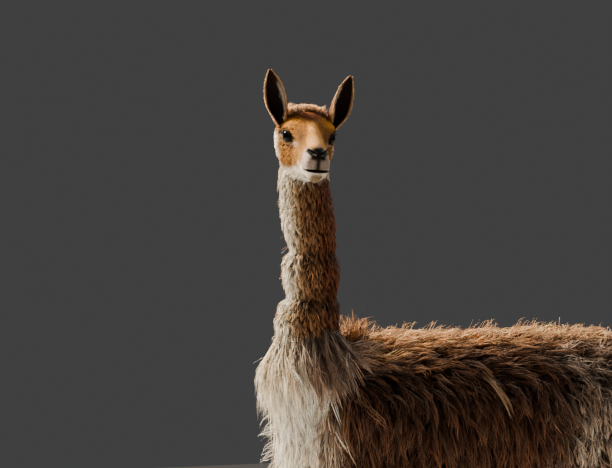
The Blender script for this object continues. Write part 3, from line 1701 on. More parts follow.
        # The pad between the nostrils, and the dark skin from it down to the mouth
        pad = eased(0.0165, 0.0115, aside) * eased(0.123, 0.129, x)
        pad = pad * eased(-0.037, -0.031, z) * eased(-0.008, -0.014, z)
        above_mouth = (x > 0.12) * eased(-0.020, -0.030, z) * (z > head.muzzle.mouth_height)
        height, half, round_share = head.muzzle.mouth_offset(points)
        inside = eased(0.0026, 0.0006, np.abs(height) - half) * eased(0.62, 0.40, round_share)
        return layered(
            colour,
            (Tone.NOSE, pad),
            (Tone.LIP, 0.60 * eased(0.0115, 0.003, aside) * above_mouth),
            (Tone.LIP, 0.85 * eased(0.0052, 0.0014, aside) * above_mouth),
            (Tone.LIP, inside * (x > head.muzzle.mouth_x - 0.02)),
        )

    def ear(self, ear: Ear, points: Array) -> Array:
        """The colours of one ear.

        Args:
            ear: the ear.
            points: places in the head's frame.

        Returns:
            Red, green and blue for each place.
        """
        share, _ = ear.spread(points)
        edge, _, _ = ear.rolled(points)
        strip = hump(ear.inward(points), 0.66, 0.20) * eased(-0.1, 0.05, share) * eased(0.80, 0.50, share)
        outside = layered(
            Tone.FAWN.spread(len(points)),
            (Tone.GOLDEN, 0.7 * np.maximum(eased(0.55, 0.95, share), eased(0.7, 0.95, edge))),
            (Tone.CREAM, 0.55 * eased(0.80, 0.97, edge)),
        )
        lining = layered(
            Tone.EAR_LINING.spread(len(points)),
            (Tone.EAR_STREAK, 0.60 * strip),
            (Tone.GOLDEN, 0.9 * eased(0.90, 0.97, edge)),
        )
        return blend(outside, lining, ear.inside(points).astype(float))


@dataclass(frozen=True)
class Coat:
    """One kind of coat: where it grows and how it lies.

    Its tufts gather into locks, and each lock follows one guide. The guide leaves the skin by the
    share climb, follows the comb in steps, and falls free of the coat's depth by the share hang.
    Rise says how soon it reaches that depth, and scatter how much the guides differ. Clump draws
    the tufts to their guide and curl makes them wavy. Tufts start below the skin by sink, stay over
    it by least, and end within the depth times beyond. The shades say how dark roots, light tips,
    and uneven locks and tufts are, bleach fades the tips, and bloom says how late they lighten.
    """

    name: str
    tufts: int
    locks: int
    length: float
    depth: float
    width: float
    seed: int
    rings: int = 5
    hang: float = 0.6
    clump: float = 0.75
    curl: float = 0.003
    climb: float = 0.40
    rise: float = 4.0
    scatter: float = 0.14
    steps: int = 8
    dark_root: float = 0.50
    light_tip: float = 1.15
    lock_shade: float = 0.20
    tuft_shade: float = 0.16
    bleach: float = 0.0
    sink: float = 0.002
    least: float = 0.0012
    off_floor: float = 0.0030
    roll_deg: float = 38.0
    bloom: float = 1.0
    beyond: float = 1.12
    lie: Row = (0.0, 0.0, -1.0)
    tone: Tone | None = None
    warmth: float = 0.035
    faded: Row = (1.45, 0.95, 0.60)
    # How uneven the guides' lengths, the tufts' widths and their shades are
    uneven: tuple[float, float] = (0.78, 1.15)
    width_range: tuple[float, float] = (0.75, 1.3)
    shade_range: tuple[float, float] = (-0.7, 0.6)
    # The shortest tuft and the lowest guide, as shares of the longest and the highest
    shortest: float = 0.70
    lowest: float = 0.25
    # How much a guide keeps its way from step to step, and how firmly it and the tips are drawn in
    steady: float = 0.25
    drawn: float = 0.7
    pressed: float = 0.8

    def cover(self, pelt: Pelt) -> Array:
        """How thickly the coat covers each triangle of the skin."""
        raise NotImplementedError

    def comb(self, points: Array, facing: Array) -> Array:
        """The way the hair is combed at each place."""
        return np.tile(self.lie, (len(points), 1))

    def lengths(self, points: Array, facing: Array) -> Array:
        """How long the hair grows from each root."""
        return np.full(len(points), self.length)

    def depths(self, points: Array, facing: Array) -> Array:
        """How far the coat stands off the skin at each place."""
        return np.full(len(points), self.depth)

    def widths(self, roots: Array) -> Array:
        """How wide the tufts are at each root."""
        return np.full(len(roots), self.width)

    def curls(self, roots: Array) -> Array:
        """How wavy the hair is at each root, against the coat's own waviness."""
        return np.ones(len(roots))

    def shades(self, markings: Markings, roots: Array, normals: Array, parts: Array) -> Array:
        """The colour of the tufts at each root: the coat's own tone, or else the markings."""
        return self.tone.spread(len(roots)) if self.tone else markings.at(roots, normals, parts)

    def astray(self, paths: Array) -> Array:
        """Which tufts have grown where this coat has none, and are left out."""
        return np.zeros(len(paths), bool)

    def guides(self, pelt: Pelt, rng: np.random.Generator) -> Array:
        """Lays one guide for each lock.

        Args:
            pelt: the skin.
            rng: where chance comes from.

        Returns:
            The stations of every guide.
        """
        place, facing, _ = pelt.roots(self.cover(pelt), self.locks, rng)
        step = self.lengths(place, facing) * rng.uniform(*self.uneven, self.locks) / self.steps
        rank = self.lowest + (1 - self.lowest) * np.sqrt(rng.random(self.locks))
        stray = rng.normal(0, self.scatter, (self.locks, 3))
        place = place - facing * self.sink
        way = unit(unit(self.comb(place, facing)) * (1 - self.climb) + facing * self.climb + stray)
        path = [place]
        for number in range(1, self.steps + 1):
            place = place + way * step[:, None]
            near, facing, height = pelt.nearest(place)
            share = number / self.steps
            wanted = self.depths(near, facing) * rank * (1 - math.exp(-self.rise * share))
            wanted = np.maximum(wanted, self.least)
            pull = np.where(height < wanted, 1.0, (1 - self.hang) * self.drawn)
            place = place + facing * ((wanted - height) * pull)[:, None]
            path.append(place)
            comb = unit(self.comb(place, facing) + stray)
            outward = dot(comb, facing)
            held = np.where(outward > 0, 1 - self.hang, 1.0)
            combed = unit(comb - facing * (outward * held)[:, None])
            way = unit(way * self.steady + combed * (1 - self.steady))
        return np.stack(path, axis=1)

    def grown(self, pelt: Pelt, markings: Markings) -> tuple[Tufts, Array, Array]:
        """Grows the coat.

        Args:
            pelt: the skin.
            markings: its colours.

        Returns:
            The tufts, their roots, and the triangle of each root.
        """
        rng = np.random.default_rng(self.seed)
        guide = self.guides(pelt, rng)
        roots, normals, picks = pelt.roots(self.cover(pelt), self.tufts, rng)
        finder = KDTree(self.locks)
        for number, spot in enumerate(guide[:, 0].tolist()):
            finder.insert(spot, number)
        finder.balance()
        lock = np.array([finder.find(root)[1] for root in roots.tolist()])
        stations = self.rings + 1
        shares = np.linspace(0, 1, stations)
        own = rng.uniform(self.shortest, 1.0, (self.tufts, 1)) * shares * self.steps
        low = np.minimum(own.astype(int), self.steps - 1)
        part = (own - low)[..., None]
        rows = lock[:, None]
        followed = guide[rows, low] * (1 - part) + guide[rows, low + 1] * part
        offset = (roots - normals * self.sink - guide[lock, 0])[:, None]
        keep = 1 - self.clump * shares**1.3
        paths = followed + offset * keep[None, :, None]
        paths += self.waves(shares, lock, rng) * self.curls(roots)[:, None, None]
        flat = paths[:, 1:].reshape(-1, 3)
        near, facing, height = pelt.nearest(flat)
        lift = np.maximum(self.least - height, 0.0)
        if self.depth:
            ceiling = np.maximum(self.depths(near, facing), self.least) * self.beyond
            lift = lift - self.pressed * np.maximum(height - ceiling, 0.0)
        paths[:, 1:] = (flat + facing * lift[:, None]).reshape(self.tufts, stations - 1, 3)
        facing = np.concatenate([normals[:, None], facing.reshape(self.tufts, stations - 1, 3)], axis=1)
        facing = unit(facing.mean(axis=1))
        paths[..., 2] = np.maximum(paths[..., 2], self.off_floor)
        widths = self.widths(roots) * rng.uniform(*self.width_range, self.tufts)
        shade = self.shades(markings, roots, normals, pelt.parts[picks])
        tones = self.tones(shade, shares, lock, rng)
        kept = ~self.astray(paths)
        return Tufts(paths, facing, widths, tones).part(kept), roots[kept], picks[kept]

    def waves(self, shares: Array, lock: Array, rng: np.random.Generator) -> Array:
        """Slow waves that a lock's tufts share, with a little of each tuft's own.

        Args:
            shares: how far along a tuft each station is.
            lock: the lock of each tuft.
            rng: where chance comes from.

        Returns:
            How far each station is moved.
        """
        start = rng.uniform(0, 2 * math.pi, (self.locks, 3))[lock]
        turns = rng.uniform(0.4, 1.0, (self.locks, 3))[lock]
        way = rng.normal(0, 1, (self.locks, 3))[lock] + rng.normal(0, 0.6, (len(lock), 3))
        phase = start[:, None] + 2 * math.pi * turns[:, None] * shares[None, :, None]
        grown = (shares**0.8)[None, :, None] * self.curl
        return way[:, None] * (np.sin(phase) - np.sin(start)[:, None]) * grown

    def tones(self, shade: Array, shares: Array, lock: Array, rng: np.random.Generator) -> Array:
        """The colours of the tufts' stations: dark at the root, light at the tip, no two alike.

        Args:
            shade: the colour of each tuft.
            shares: how far along a tuft each station is.
            lock: the lock of each tuft.
            rng: where chance comes from.

        Returns:
            Red, green and blue for each station.
        """
        together = rng.normal(0, self.lock_shade, self.locks)[lock]
        alone = rng.normal(0, self.tuft_shade, len(lock))
        level = np.exp(np.clip(together + alone, *self.shade_range))[:, None]
        lighter = eased(0.0, 0.85, shares) ** self.bloom
        along = self.dark_root + (self.light_tip - self.dark_root) * lighter
        warm = rng.normal(0, self.warmth, (len(lock), 1)) * (1, 0, -1)
        tinted = (shade * (1 + warm))[:, None]
        faded = tinted.mean(axis=-1, keepdims=True) * self.faded
        tinted = tinted + (faded - tinted) * (self.bleach * eased(0.3, 0.9, shares))[None, :, None]
        return tinted * (level * along[None])[..., None]


def thigh_folds(points: Array) -> Array:
    """Shares of the two creases where the thigh meets the flank.

    Args:
        points: places on the body.

    Returns:
        One share for each place.
    """
    folded = points * (1, 0, 1) + np.abs(points) * (0, 1, 0)
    upper = bell(folded, (0.250, 0.130, 0.800), (0.060, 0.060, 0.009))
    lower = bell(folded, (0.222, 0.130, 0.716), (0.045, 0.060, 0.009))
    return np.maximum(upper, lower)


def ragged_waist(points: Array) -> Array:
    """How far the neck's waists wander up and down."""
    return 0.020 * Ripple(10, 0.070).at(points)


def neck_height(points: Array) -> Array:
    """Heights measured square to the slanting foot of the neck."""
    return points[:, 2] - 0.25 * (points[:, 0] + 0.26)


def near_neck(points: Array) -> Array:
    """Shares of the neck's part of the body, 0 below it and 1 on it."""
    return eased(0.862, 0.878, neck_height(points))


def near_tail(points: Array) -> Array:
    """Shares of the tail's part of the body."""
    return eased(0.466, 0.480, points[:, 0]) * eased(0.050, 0.036, np.abs(points[:, 1]))


@dataclass(frozen=True)
class Fleece(Coat):
    """The long hair of the trunk: rearward over the back and down the sides."""

    back_length: float = 0.085
    back_depth: float = 0.025
    belly_length: float = 0.060
    leg_height: float = 0.520

    def cover(self, pelt: Pelt) -> Array:
        """The trunk, down to where the legs leave it.

        Args:
            pelt: the skin that the coat grows from.

        Returns:
            A share for each triangle.
        """
        points = pelt.middles
        share = (1 - near_neck(points)) * (1 - near_tail(points))
        down = eased(self.leg_height - 0.04, self.leg_height + 0.01, points[:, 2])
        inner = eased(-0.2, -0.75, pelt.normals[:, 2])
        return pelt.on(Part.BODY) * share * down * (1 - 0.55 * inner)

    def comb(self, points: Array, facing: Array) -> Array:
        """Rearward along the back, and straight down on the flanks.

        Args:
            points: places on the body.
            facing: the way out of the skin at each.

        Returns:
            A way for each place.
        """
        wander = 0.012 * Ripple(20, 0.11).at(points)
        fall = np.interp(points[:, 2] + wander, (0.735, 0.775, 0.815, 0.862), (0.98, 0.82, 0.34, 0.04))
        fall = np.maximum(fall, eased(-0.5, -0.85, facing[:, 0]))
        fall = np.maximum(fall, eased(0.38, 0.44, points[:, 0]))
        way = np.stack([1 - fall, 0 * fall, -fall], axis=1)
        loose = 0.4 + 0.6 * (1 - fall)
        way[:, 0] += 0.30 * Ripple(21, 0.13).at(points) * loose
        way[:, 1] += 0.45 * Ripple(22, 0.09).at(points) * (1 - fall)
        return way

    def lengths(self, points: Array, facing: Array) -> Array:
        """Long on the sides, shorter on the back and under the belly.

        Args:
            points: places on the body.
            facing: the way out of the skin at each.

        Returns:
            A length for each place.
        """
        full = self.length
        down_to_up = (self.belly_length, full, full, 0.7 * full, self.back_length)
        long = np.interp(facing[:, 2], (-0.8, -0.2, 0.35, 0.62, 0.85), down_to_up)
        woolly = 1 - 0.38 * eased(0.10, 0.22, points[:, 0])
        return long * woolly * (1 + 0.22 * Ripple(23, 0.07).at(points))

    def depths(self, points: Array, facing: Array) -> Array:
        """Deep on the sides and shallow inside the legs.

        Args:
            points: places on the body.
            facing: the way out of the skin at each.

        Returns:
            A depth for each place.
        """
        deep = self.depth + (self.back_depth - self.depth) * eased(0.35, 0.85, facing[:, 2])
        deep = deep * (1 - 0.55 * eased(-0.1, -0.8, facing[:, 2]))
        shelf = hump(points[:, 2], 0.775, 0.016) * eased(-0.30, -0.26, points[:, 0])
        deep = deep * (1 - 0.30 * shelf * eased(0.10, 0.02, points[:, 0]))
        ahead = eased(-0.19, -0.29, points[:, 0]) * eased(0.82, 0.77, points[:, 2])
        deep = deep * (1 - 0.62 * ahead * eased(0.58, 0.64, points[:, 2]))
        deep = deep * (1 - 0.45 * thigh_folds(points))
        inner = eased(0.0, 0.5, -facing[:, 1] * np.sign(points[:, 1])) * eased(0.62, 0.56, points[:, 2])
        low = eased(0.56, 0.50, points[:, 2])
        return deep * (1 - 0.7 * inner) * (1 - 0.55 * low)

    def curls(self, roots: Array) -> Array:
        """Waviest on the haunches."""
        return 1 + 0.6 * eased(0.10, 0.22, roots[:, 0])


@dataclass(frozen=True)
class NeckWool(Coat):
    """The neck's dense wool, in three rolls that each taper to a waist."""

    # Height, and the wool's depth over the skin in front and behind
    rolls: tuple[Row, ...] = (
        (0.860, 0.0135, 0.0110),
        (0.896, 0.0180, 0.0120),
        (0.920, 0.0220, 0.0165),
        (0.940, 0.0265, 0.0195),
        (0.950, 0.0235, 0.0175),
        (0.954, 0.0050, 0.0080),
        (0.962, 0.0085, 0.0095),
        (0.988, 0.0170, 0.0165),
        (1.010, 0.0200, 0.0195),
        (1.030, 0.0215, 0.0205),
        (1.041, 0.0195, 0.0185),
        (1.045, 0.0045, 0.0120),
        (1.056, 0.0090, 0.0150),
        (1.090, 0.0155, 0.0175),
        (1.126, 0.0195, 0.0165),
        (1.160, 0.0205, 0.0160),
        (1.200, 0.0200, 0.0145),
        (1.270, 0.0190, 0.0120),
    )

    def cover(self, pelt: Pelt) -> Array:
        """The neck, from its foot into the head."""
        return pelt.on(Part.BODY) * near_neck(pelt.middles)

    def depths(self, points: Array, facing: Array) -> Array:
        """Read from the rolls, between front and back.

        Args:
            points: places on the body.
            facing: the way out of the skin at each.

        Returns:
            A depth for each place.
        """
        heights, front, back = np.array(self.rolls).T
        ahead = np.interp(points[:, 2], heights, front)
        behind = np.interp(points[:, 2], heights, back)
        return behind + (ahead - behind) * eased(0.6, -0.6, facing[:, 0])

    def widths(self, roots: Array) -> Array:
        """Finest near the head."""
        return self.width * (1 - 0.25 * eased(1.05, 1.15, roots[:, 2]))

    def lengths(self, points: Array, facing: Array) -> Array:
        """Uneven, and longest near the foot."""
        low = eased(0.98, 0.88, points[:, 2])
        return self.length * (1 + 0.35 * low + 0.2 * Ripple(31, 0.05).at(points))


@dataclass(frozen=True)
class Collar(Coat):
    """The long straight wool that hangs from the foot of the neck over the chest."""

    low: float = 0.845
    high: float = 0.915

    def cover(self, pelt: Pelt) -> Array:
        """A band round the front and sides of the neck's foot.

        Args:
            pelt: the skin that the coat grows from.

        Returns:
            A share for each triangle.
        """
        points = pelt.middles
        z = points[:, 2]
        band = eased(self.low, self.low + 0.02, z) * eased(self.high, self.high - 0.02, z)
        front = eased(0.75, 0.25, pelt.normals[:, 0])
        return pelt.on(Part.BODY) * band * front * (points[:, 0] < -0.255)

    def comb(self, points: Array, facing: Array) -> Array:
        """Down, and fanned outward over the shoulders.

        Args:
            points: places on the body.
            facing: the way out of the skin at each.

        Returns:
            A way for each place.
        """
        way = np.tile(DOWN, (len(points), 1))
        way[:, 1] += np.where(points[:, 1] < 0, 0.40, 0.10) * np.clip(points[:, 1] / 0.06, -1, 1)
        way[:, 0] += 0.26 * eased(-0.36, -0.28, points[:, 0])
        way[:, 1] += 0.36 * Ripple(35, 0.05).at(points)
        return way

    def depths(self, points: Array, facing: Array) -> Array:
        """Deepest low over the shoulders, where the body's own hair lies under it."""
        side = eased(-0.35, -0.30, points[:, 0])
        return self.depth * (0.55 + 0.45 * np.maximum(side, eased(0.86, 0.80, points[:, 2])))

    def shades(self, markings: Markings, roots: Array, normals: Array, parts: Array) -> Array:
        """Pale in front, and tan with ash at the sides.

        Args:
            markings: the animal's colours.
            roots: the roots of the tufts.
            normals: the way out of the skin at each.
            parts: the part that each belongs to.

        Returns:
            Red, green and blue for each root.
        """
        side = eased(-0.90, -0.55, normals[:, 0])
        pale = 0.20 + 0.70 * eased(0.3, 0.7, markings.streak(roots * 1.4))
        return layered(
            Tone.CREAM.spread(len(roots)),
            (Tone.WHITE, 0.5),
            (layered(Tone.TAN.spread(len(roots)), (Tone.ASH, pale)), side),
            (Tone.BROWN, 0.55 * eased(0.5, 0.85, markings.streak(roots * 2.0 + 0.3)) * side),
        )


@dataclass(frozen=True)
class Bib(Coat):
    """The long pale hair of the chest."""

    def cover(self, pelt: Pelt) -> Array:
        """The front of the chest, between the shoulders.

        Args:
            pelt: the skin that the coat grows from.

        Returns:
            A share for each triangle.
        """
        points = pelt.middles
        front = eased(-0.300, -0.330, points[:, 0]) * eased(0.150, 0.125, np.abs(points[:, 1]))
        tall = eased(0.515, 0.540, points[:, 2]) * eased(0.845, 0.82, points[:, 2])
        return pelt.on(Part.BODY) * front * tall * eased(0.1, -0.2, pelt.normals[:, 0])

    def comb(self, points: Array, facing: Array) -> Array:
        """Down, a little forward, and to either side in turn.

        Args:
            points: places on the body.
            facing: the way out of the skin at each.

        Returns:
            A way for each place.
        """
        way = np.tile((-0.06, 0.0, -1.0), (len(points), 1))
        way[:, 1] += 0.40 * Ripple(36, 0.07).at(points)
        return way

    def depths(self, points: Array, facing: Array) -> Array:
        """Deepest high on the chest."""
        return self.depth * (0.42 + 0.58 * eased(0.72, 0.79, points[:, 2]))


@dataclass(frozen=True)
class TailHair(Coat):
    """The hair of the tail."""

    def cover(self, pelt: Pelt) -> Array:
        """The tail, from its root down."""
        return pelt.on(Part.BODY) * near_tail(pelt.middles)


@dataclass(frozen=True)
class LegFur(Coat):
    """The short fur of the legs and feet, longer towards the body."""

    top: float = 0.540
    # The hair's length and the coat's depth at heights up the leg, against the coat's own
    heights: Row = (0.0, 0.05, 0.12, 0.34, 0.46, 0.54)
    long: Row = (0.5, 0.6, 1.0, 1.2, 2.6, 4.0)
    deep: Row = (0.35, 0.5, 1.0, 1.2, 3.0, 4.5)

    def cover(self, pelt: Pelt) -> Array:
        """The legs and the tops of the toes, without their soles.

        Args:
            pelt: the skin that the coat grows from.

        Returns:
            A share for each triangle.
        """
        points = pelt.middles
        low = eased(self.top, self.top - 0.03, points[:, 2]) * (points[:, 0] < 0.46)
        legs = pelt.on(Part.BODY) | pelt.on(Part.TOE)
        return legs * low * (pelt.normals[:, 2] > -0.5) * (1 - near_tail(points))

    def comb(self, points: Array, facing: Array) -> Array:
        """Down the leg, and forward over the foot."""
        ahead = eased(0.060, 0.020, points[:, 2])
        return np.stack([-ahead, 0 * ahead, -(1 - 0.7 * ahead)], axis=1)

    def lengths(self, points: Array, facing: Array) -> Array:
        """Short on the foot and long at the top."""
        return self.length * np.interp(points[:, 2], self.heights, self.long)

    def depths(self, points: Array, facing: Array) -> Array:
        """Flat on the foot and deep at the top."""
        return self.depth * np.interp(points[:, 2], self.heights, self.deep)


@dataclass(frozen=True)
class HeadCoat(Coat):
    """A coat of the head, which is laid out in the head's own frame."""

    animal: Vicuna = Vicuna()

    def seen(self, points: Array) -> Array:
        """Points in the head's frame."""
        return self.animal.pose.seen(points)

    def turned(self, ways: Array) -> Array:
        """Ways of the head's frame, turned with the head."""
        return self.animal.pose.turned(ways)

    def nearer(self, seen: Array, left: Array, right: Array) -> Array:
        """The left or the right value for each place, by its side of the head."""
        return np.where(seen[:, 1:2] > 0, left, right)


@dataclass(frozen=True)
class HeadFur(HeadCoat):
    """The short fur of the head, combed back from the nose."""

    jowl: float = 0.0060
    eye_reach: float = 0.026

    def cover(self, pelt: Pelt) -> Array:
        """The head without its lids, nose and lips.

        Args:
            pelt: the skin that the coat grows from.

        Returns:
            A share for each triangle.
        """
        seen = self.seen(pelt.middles)
        dense = 1 + 1.2 * eased(0.02, 0.08, seen[:, 0])
        return pelt.on(Part.HEAD) * (1 - self.animal.head.bare(seen)) * dense

    def comb(self, points: Array, facing: Array) -> Array:
        """Back from the nose, round the eyes and down at the jaw.

        Args:
            points: places on the body.
            facing: the way out of the skin at each.

        Returns:
            A way for each place.
        """
        seen = self.seen(points)
        x, y, z = seen.T
        way = np.stack([-np.ones(len(x)), 0.35 * np.sign(y) * eased(0.0, 0.02, np.abs(y)), 0 * x], axis=1)
        way[:, 2] = 0.25 * eased(0.0, 0.03, z) - 0.7 * eased(-0.02, -0.06, z)
        for side in (-1, 1):
            offset = seen - self.animal.head.eye.middle(side)
            near = hump(np.linalg.norm(offset, axis=1), 0.0, self.eye_reach)
            way += unit(offset) * (1.2 * near)[:, None]
        return self.turned(way)

    def lengths(self, points: Array, facing: Array) -> Array:
        """Shortest on the nose, longest under the jaw and behind the cheeks.

        Args:
            points: places on the body.
            facing: the way out of the skin at each.

        Returns:
            A length for each place.
        """
        x, _, z = self.seen(points).T
        long = self.length * np.interp(x, (-0.07, -0.02, 0.03, 0.08, 0.14), (1.7, 1.5, 1.05, 0.75, 0.55))
        long = long * (1 + 0.8 * eased(-0.012, -0.040, x) * eased(0.030, 0.010, z))
        return long * (1 + 1.5 * eased(-0.030, -0.065, z) * eased(0.075, 0.0, x))

    def depths(self, points: Array, facing: Array) -> Array:
        """Flat on the face and deeper behind it.

        Args:
            points: places on the body.
            facing: the way out of the skin at each.

        Returns:
            A depth for each place.
        """
        x, _, z = self.seen(points).T
        deep = self.depth * np.interp(x, (-0.07, -0.02, 0.02, 0.08, 0.14), (4.0, 3.0, 1.1, 0.7, 0.5))
        deep = deep * (1 + 0.9 * eased(-0.012, -0.040, x) * eased(0.030, 0.010, z))
        deep = deep * (1 + 1.2 * eased(-0.040, -0.070, z) * eased(0.075, 0.0, x))
        return deep + self.jowl * eased(-0.008, -0.035, z) * eased(0.030, -0.005, x)

    def widths(self, roots: Array) -> Array:
        """Finest towards the nose."""
        x = self.seen(roots)[:, 0]
        return self.width * np.interp(x, (-0.07, 0.0, 0.06, 0.11), (1.35, 1.0, 0.8, 0.6))


@dataclass(frozen=True)
class Crown(HeadCoat):
    """The curly golden tuft between the ears."""

    def cover(self, pelt: Pelt) -> Array:
        """The top of the head.

        Args:
            pelt: the skin that the coat grows from.

        Returns:
            A share for each triangle.
        """
        seen = self.seen(pelt.middles)
        top = bell(seen, (-0.036, 0.0, 0.046), (0.027, 0.042, 0.016)) * (seen[:, 0] < -0.014)
        return pelt.on(Part.HEAD) * np.where(top > 0.15, top, 0.0)

    def comb(self, points: Array, facing: Array) -> Array:
        """Back and up, and a little to either side.

        Args:
            points: places on the body.
            facing: the way out of the skin at each.

        Returns:
            A way for each place.
        """
        seen = self.seen(points)
        way = np.stack([-0.80 + 0 * seen[:, 0], 7.0 * seen[:, 1], 0.60 + 0 * seen[:, 0]], axis=1)
        return self.turned(way)

    def lengths(self, points: Array, facing: Array) -> Array:
        """Short in front and longest behind."""
        return self.length * (0.32 + 0.68 * eased(-0.006, -0.032, self.seen(points)[:, 0]))

    def shades(self, markings: Markings, roots: Array, normals: Array, parts: Array) -> Array:
        """Golden, with a little brown in front.

        Args:
            markings: the animal's colours.
            roots: the roots of the tufts.
            normals: the way out of the skin at each.
            parts: the part that each belongs to.

        Returns:
            Red, green and blue for each root.
        """
        x = self.seen(roots)[:, 0] + 0.006 * Ripple(37, 0.03).at(roots)
        golden = layered(Tone.GOLDEN.spread(len(roots)), (Tone.CREAM, 0.30))
        brown = Tone.BROWN.spread(len(roots))
        return blend(brown, golden, 0.35 + 0.65 * eased(-0.014, -0.024, x))


@dataclass(frozen=True)
class Lashes(HeadCoat):
    """The dark lashes of the upper lids."""

    tone: Tone | None = Tone.NOSE

    def cover(self, pelt: Pelt) -> Array:
        """The rims of the upper lids.

        Args:
            pelt: the skin that the coat grows from.

        Returns:
            A share for each triangle.
        """
        seen = self.seen(pelt.middles)
        found = np.zeros(len(seen))
        eye = self.animal.head.eye
        for side in (-1, 1):
            share = eye.rim_share(seen, side)
            _, _, up = eye.axes(side)
            above = (seen - eye.middle(side)) @ up > 0.002
            found += (share > 1.0) * (share < 1.10) * above
        return pelt.on(Part.HEAD) * found

    def comb(self, points: Array, facing: Array) -> Array:
        """Out over the eye and down a little, fanned to the outer corner.

        Args:
            points: places on the body.
            facing: the way out of the skin at each.

        Returns:
            A way for each place.
        """
        seen = self.seen(points)
        eye = self.animal.head.eye
        ways = []
        for side in (-1, 1):
            gaze, outward, up = eye.axes(side)
            fan = (seen - eye.middle(side)) @ outward / (eye.width / 2)
            ways.append(gaze * 0.8 - up * 0.25 + outward * (0.35 + 0.5 * fan)[:, None])
        return self.turned(self.nearer(seen, ways[1], ways[0]))


@dataclass(frozen=True)
class EarFur(HeadCoat):
    """The short fur on the backs and rims of both ears, combed to their tips."""

    def cover(self, pelt: Pelt) -> Array:
        """The outside of both ears, thickest along the rims.

        Args:
            pelt: the skin that the coat grows from.

        Returns:
            A share for each triangle.
        """
        found = np.zeros(len(pelt.middles))
        seen = self.seen(pelt.middles)
        for ear, part in self.animal.ear_parts():
            rim = eased(0.90, 0.97, ear.rolled(seen)[0])
            found += pelt.on(part) * np.where(ear.inside(seen), 0.0, 1.0 + 2.2 * rim)
        return found

    def comb(self, points: Array, facing: Array) -> Array:
        """Along the nearer ear to its tip.

        Args:
            points: places on the body.
            facing: the way out of the skin at each.

        Returns:
            A way for each place.
        """
        seen = self.seen(points)
        ways = []
        for ear in self.animal.ears:
            length, _, wide = ear.axes()
            _, across = ear.spread(seen)
            ways.append(length + wide * np.clip(across / 0.05, -0.4, 0.4)[:, None])
        return self.turned(self.nearer(seen, *ways))

    def lengths(self, points: Array, facing: Array) -> Array:
        """Shorter towards the tips.

        Args:
            points: places on the body.
            facing: the way out of the skin at each.

        Returns:
            A length for each place.
        """
        seen = self.seen(points)
        shares = [ear.spread(seen)[0] for ear in self.animal.ears]
        return self.length * (1 - 0.5 * eased(0.5, 0.95, np.where(seen[:, 1] > 0, *shares)))

    def astray(self, paths: Array) -> Array:
        """The tufts that have come through into a cup.

        Args:
            paths: the stations of every tuft.

        Returns:
            True for each tuft that is left out.
        """
        seen = self.seen(paths[:, 1:].reshape(-1, 3))
        found = np.zeros(len(seen), bool)
        for ear in self.animal.ears:
            share, _ = ear.spread(seen)
            found |= ear.inside(seen) & (np.sign(seen[:, 1]) == ear.side) & (share < 0.92)
        return found.reshape(len(paths), -1).any(axis=1)


@dataclass(frozen=True)
class EarStreak(HeadCoat):
    """The long pale hairs inside each ear, along the edge nearer the crown."""

    tone: Tone | None = Tone.EAR_STREAK

    def cover(self, pelt: Pelt) -> Array:
        """A strip inside each cup.

        Args:
            pelt: the skin that the coat grows from.

        Returns:
            A share for each triangle.
        """
        found = np.zeros(len(pelt.middles))
        seen = self.seen(pelt.middles)
        for ear, part in self.animal.ear_parts():
            share, _ = ear.spread(seen)
            strip = hump(ear.inward(seen), 0.62, 0.18)
            strip = strip * eased(-0.10, 0.04, share) * eased(0.64, 0.44, share)
            found += pelt.on(part) * ear.inside(seen) * strip
        return found

    def comb(self, points: Array, facing: Array) -> Array:
        """Along the nearer ear to its tip."""
        seen = self.seen(points)
        return self.turned(self.nearer(seen, *(ear.axes()[0] for ear in self.animal.ears)))


@dataclass(frozen=True)
class Strays(Coat):
    """Fine loose hairs that stand out of the back, the chest and the neck."""

    def cover(self, pelt: Pelt) -> Array:
        """Mostly the back and the front of the chest, and a few on the neck and flanks.

        Args:
            pelt: the skin that the coat grows from.

        Returns:
            A share for each triangle.
        """
        x, _, z = pelt.middles.T
        up = pelt.normals[:, 2]
        back = eased(0.80, 0.97, up) * (1 - near_neck(pelt.middles)) * (z > 0.70)
        front = eased(-0.2, -0.8, pelt.normals[:, 0]) * (z > 0.60) * (z < 0.90) * (x < -0.32)
        neck = near_neck(pelt.middles) * 0.25
        rest = 0.05 * (z > 0.55)
        return pelt.on(Part.BODY) * (2.2 * back + 2.0 * front + neck + rest)

    def lengths(self, points: Array, facing: Array) -> Array:
        """Short on the neck and the back, long on the chest."""
        short = 1 - 0.55 * near_neck(points)
        return self.length * short * (1 - 0.25 * eased(0.5, 0.9, facing[:, 2]))

    def comb(self, points: Array, facing: Array) -> Array:
        """Rearward on the back, and outward and down elsewhere.

        Args:
            points: places on the body.
            facing: the way out of the skin at each.

        Returns:
            A way for each place.
        """
        up = eased(0.5, 0.9, facing[:, 2])[:, None]
        low = facing * 0.9 + DOWN
        return low + (np.array((0.90, 0.0, 0.22)) - low) * up

    def depths(self, points: Array, facing: Array) -> Array:
        """Beyond the coat under them.

        Args:
            points: places on the body.
            facing: the way out of the skin at each.

        Returns:
            A depth for each place.
        """
        up = eased(0.5, 0.9, facing[:, 2])
        on_neck = near_neck(points)
        return self.depth * (1 - 0.55 * on_neck - 0.15 * up)


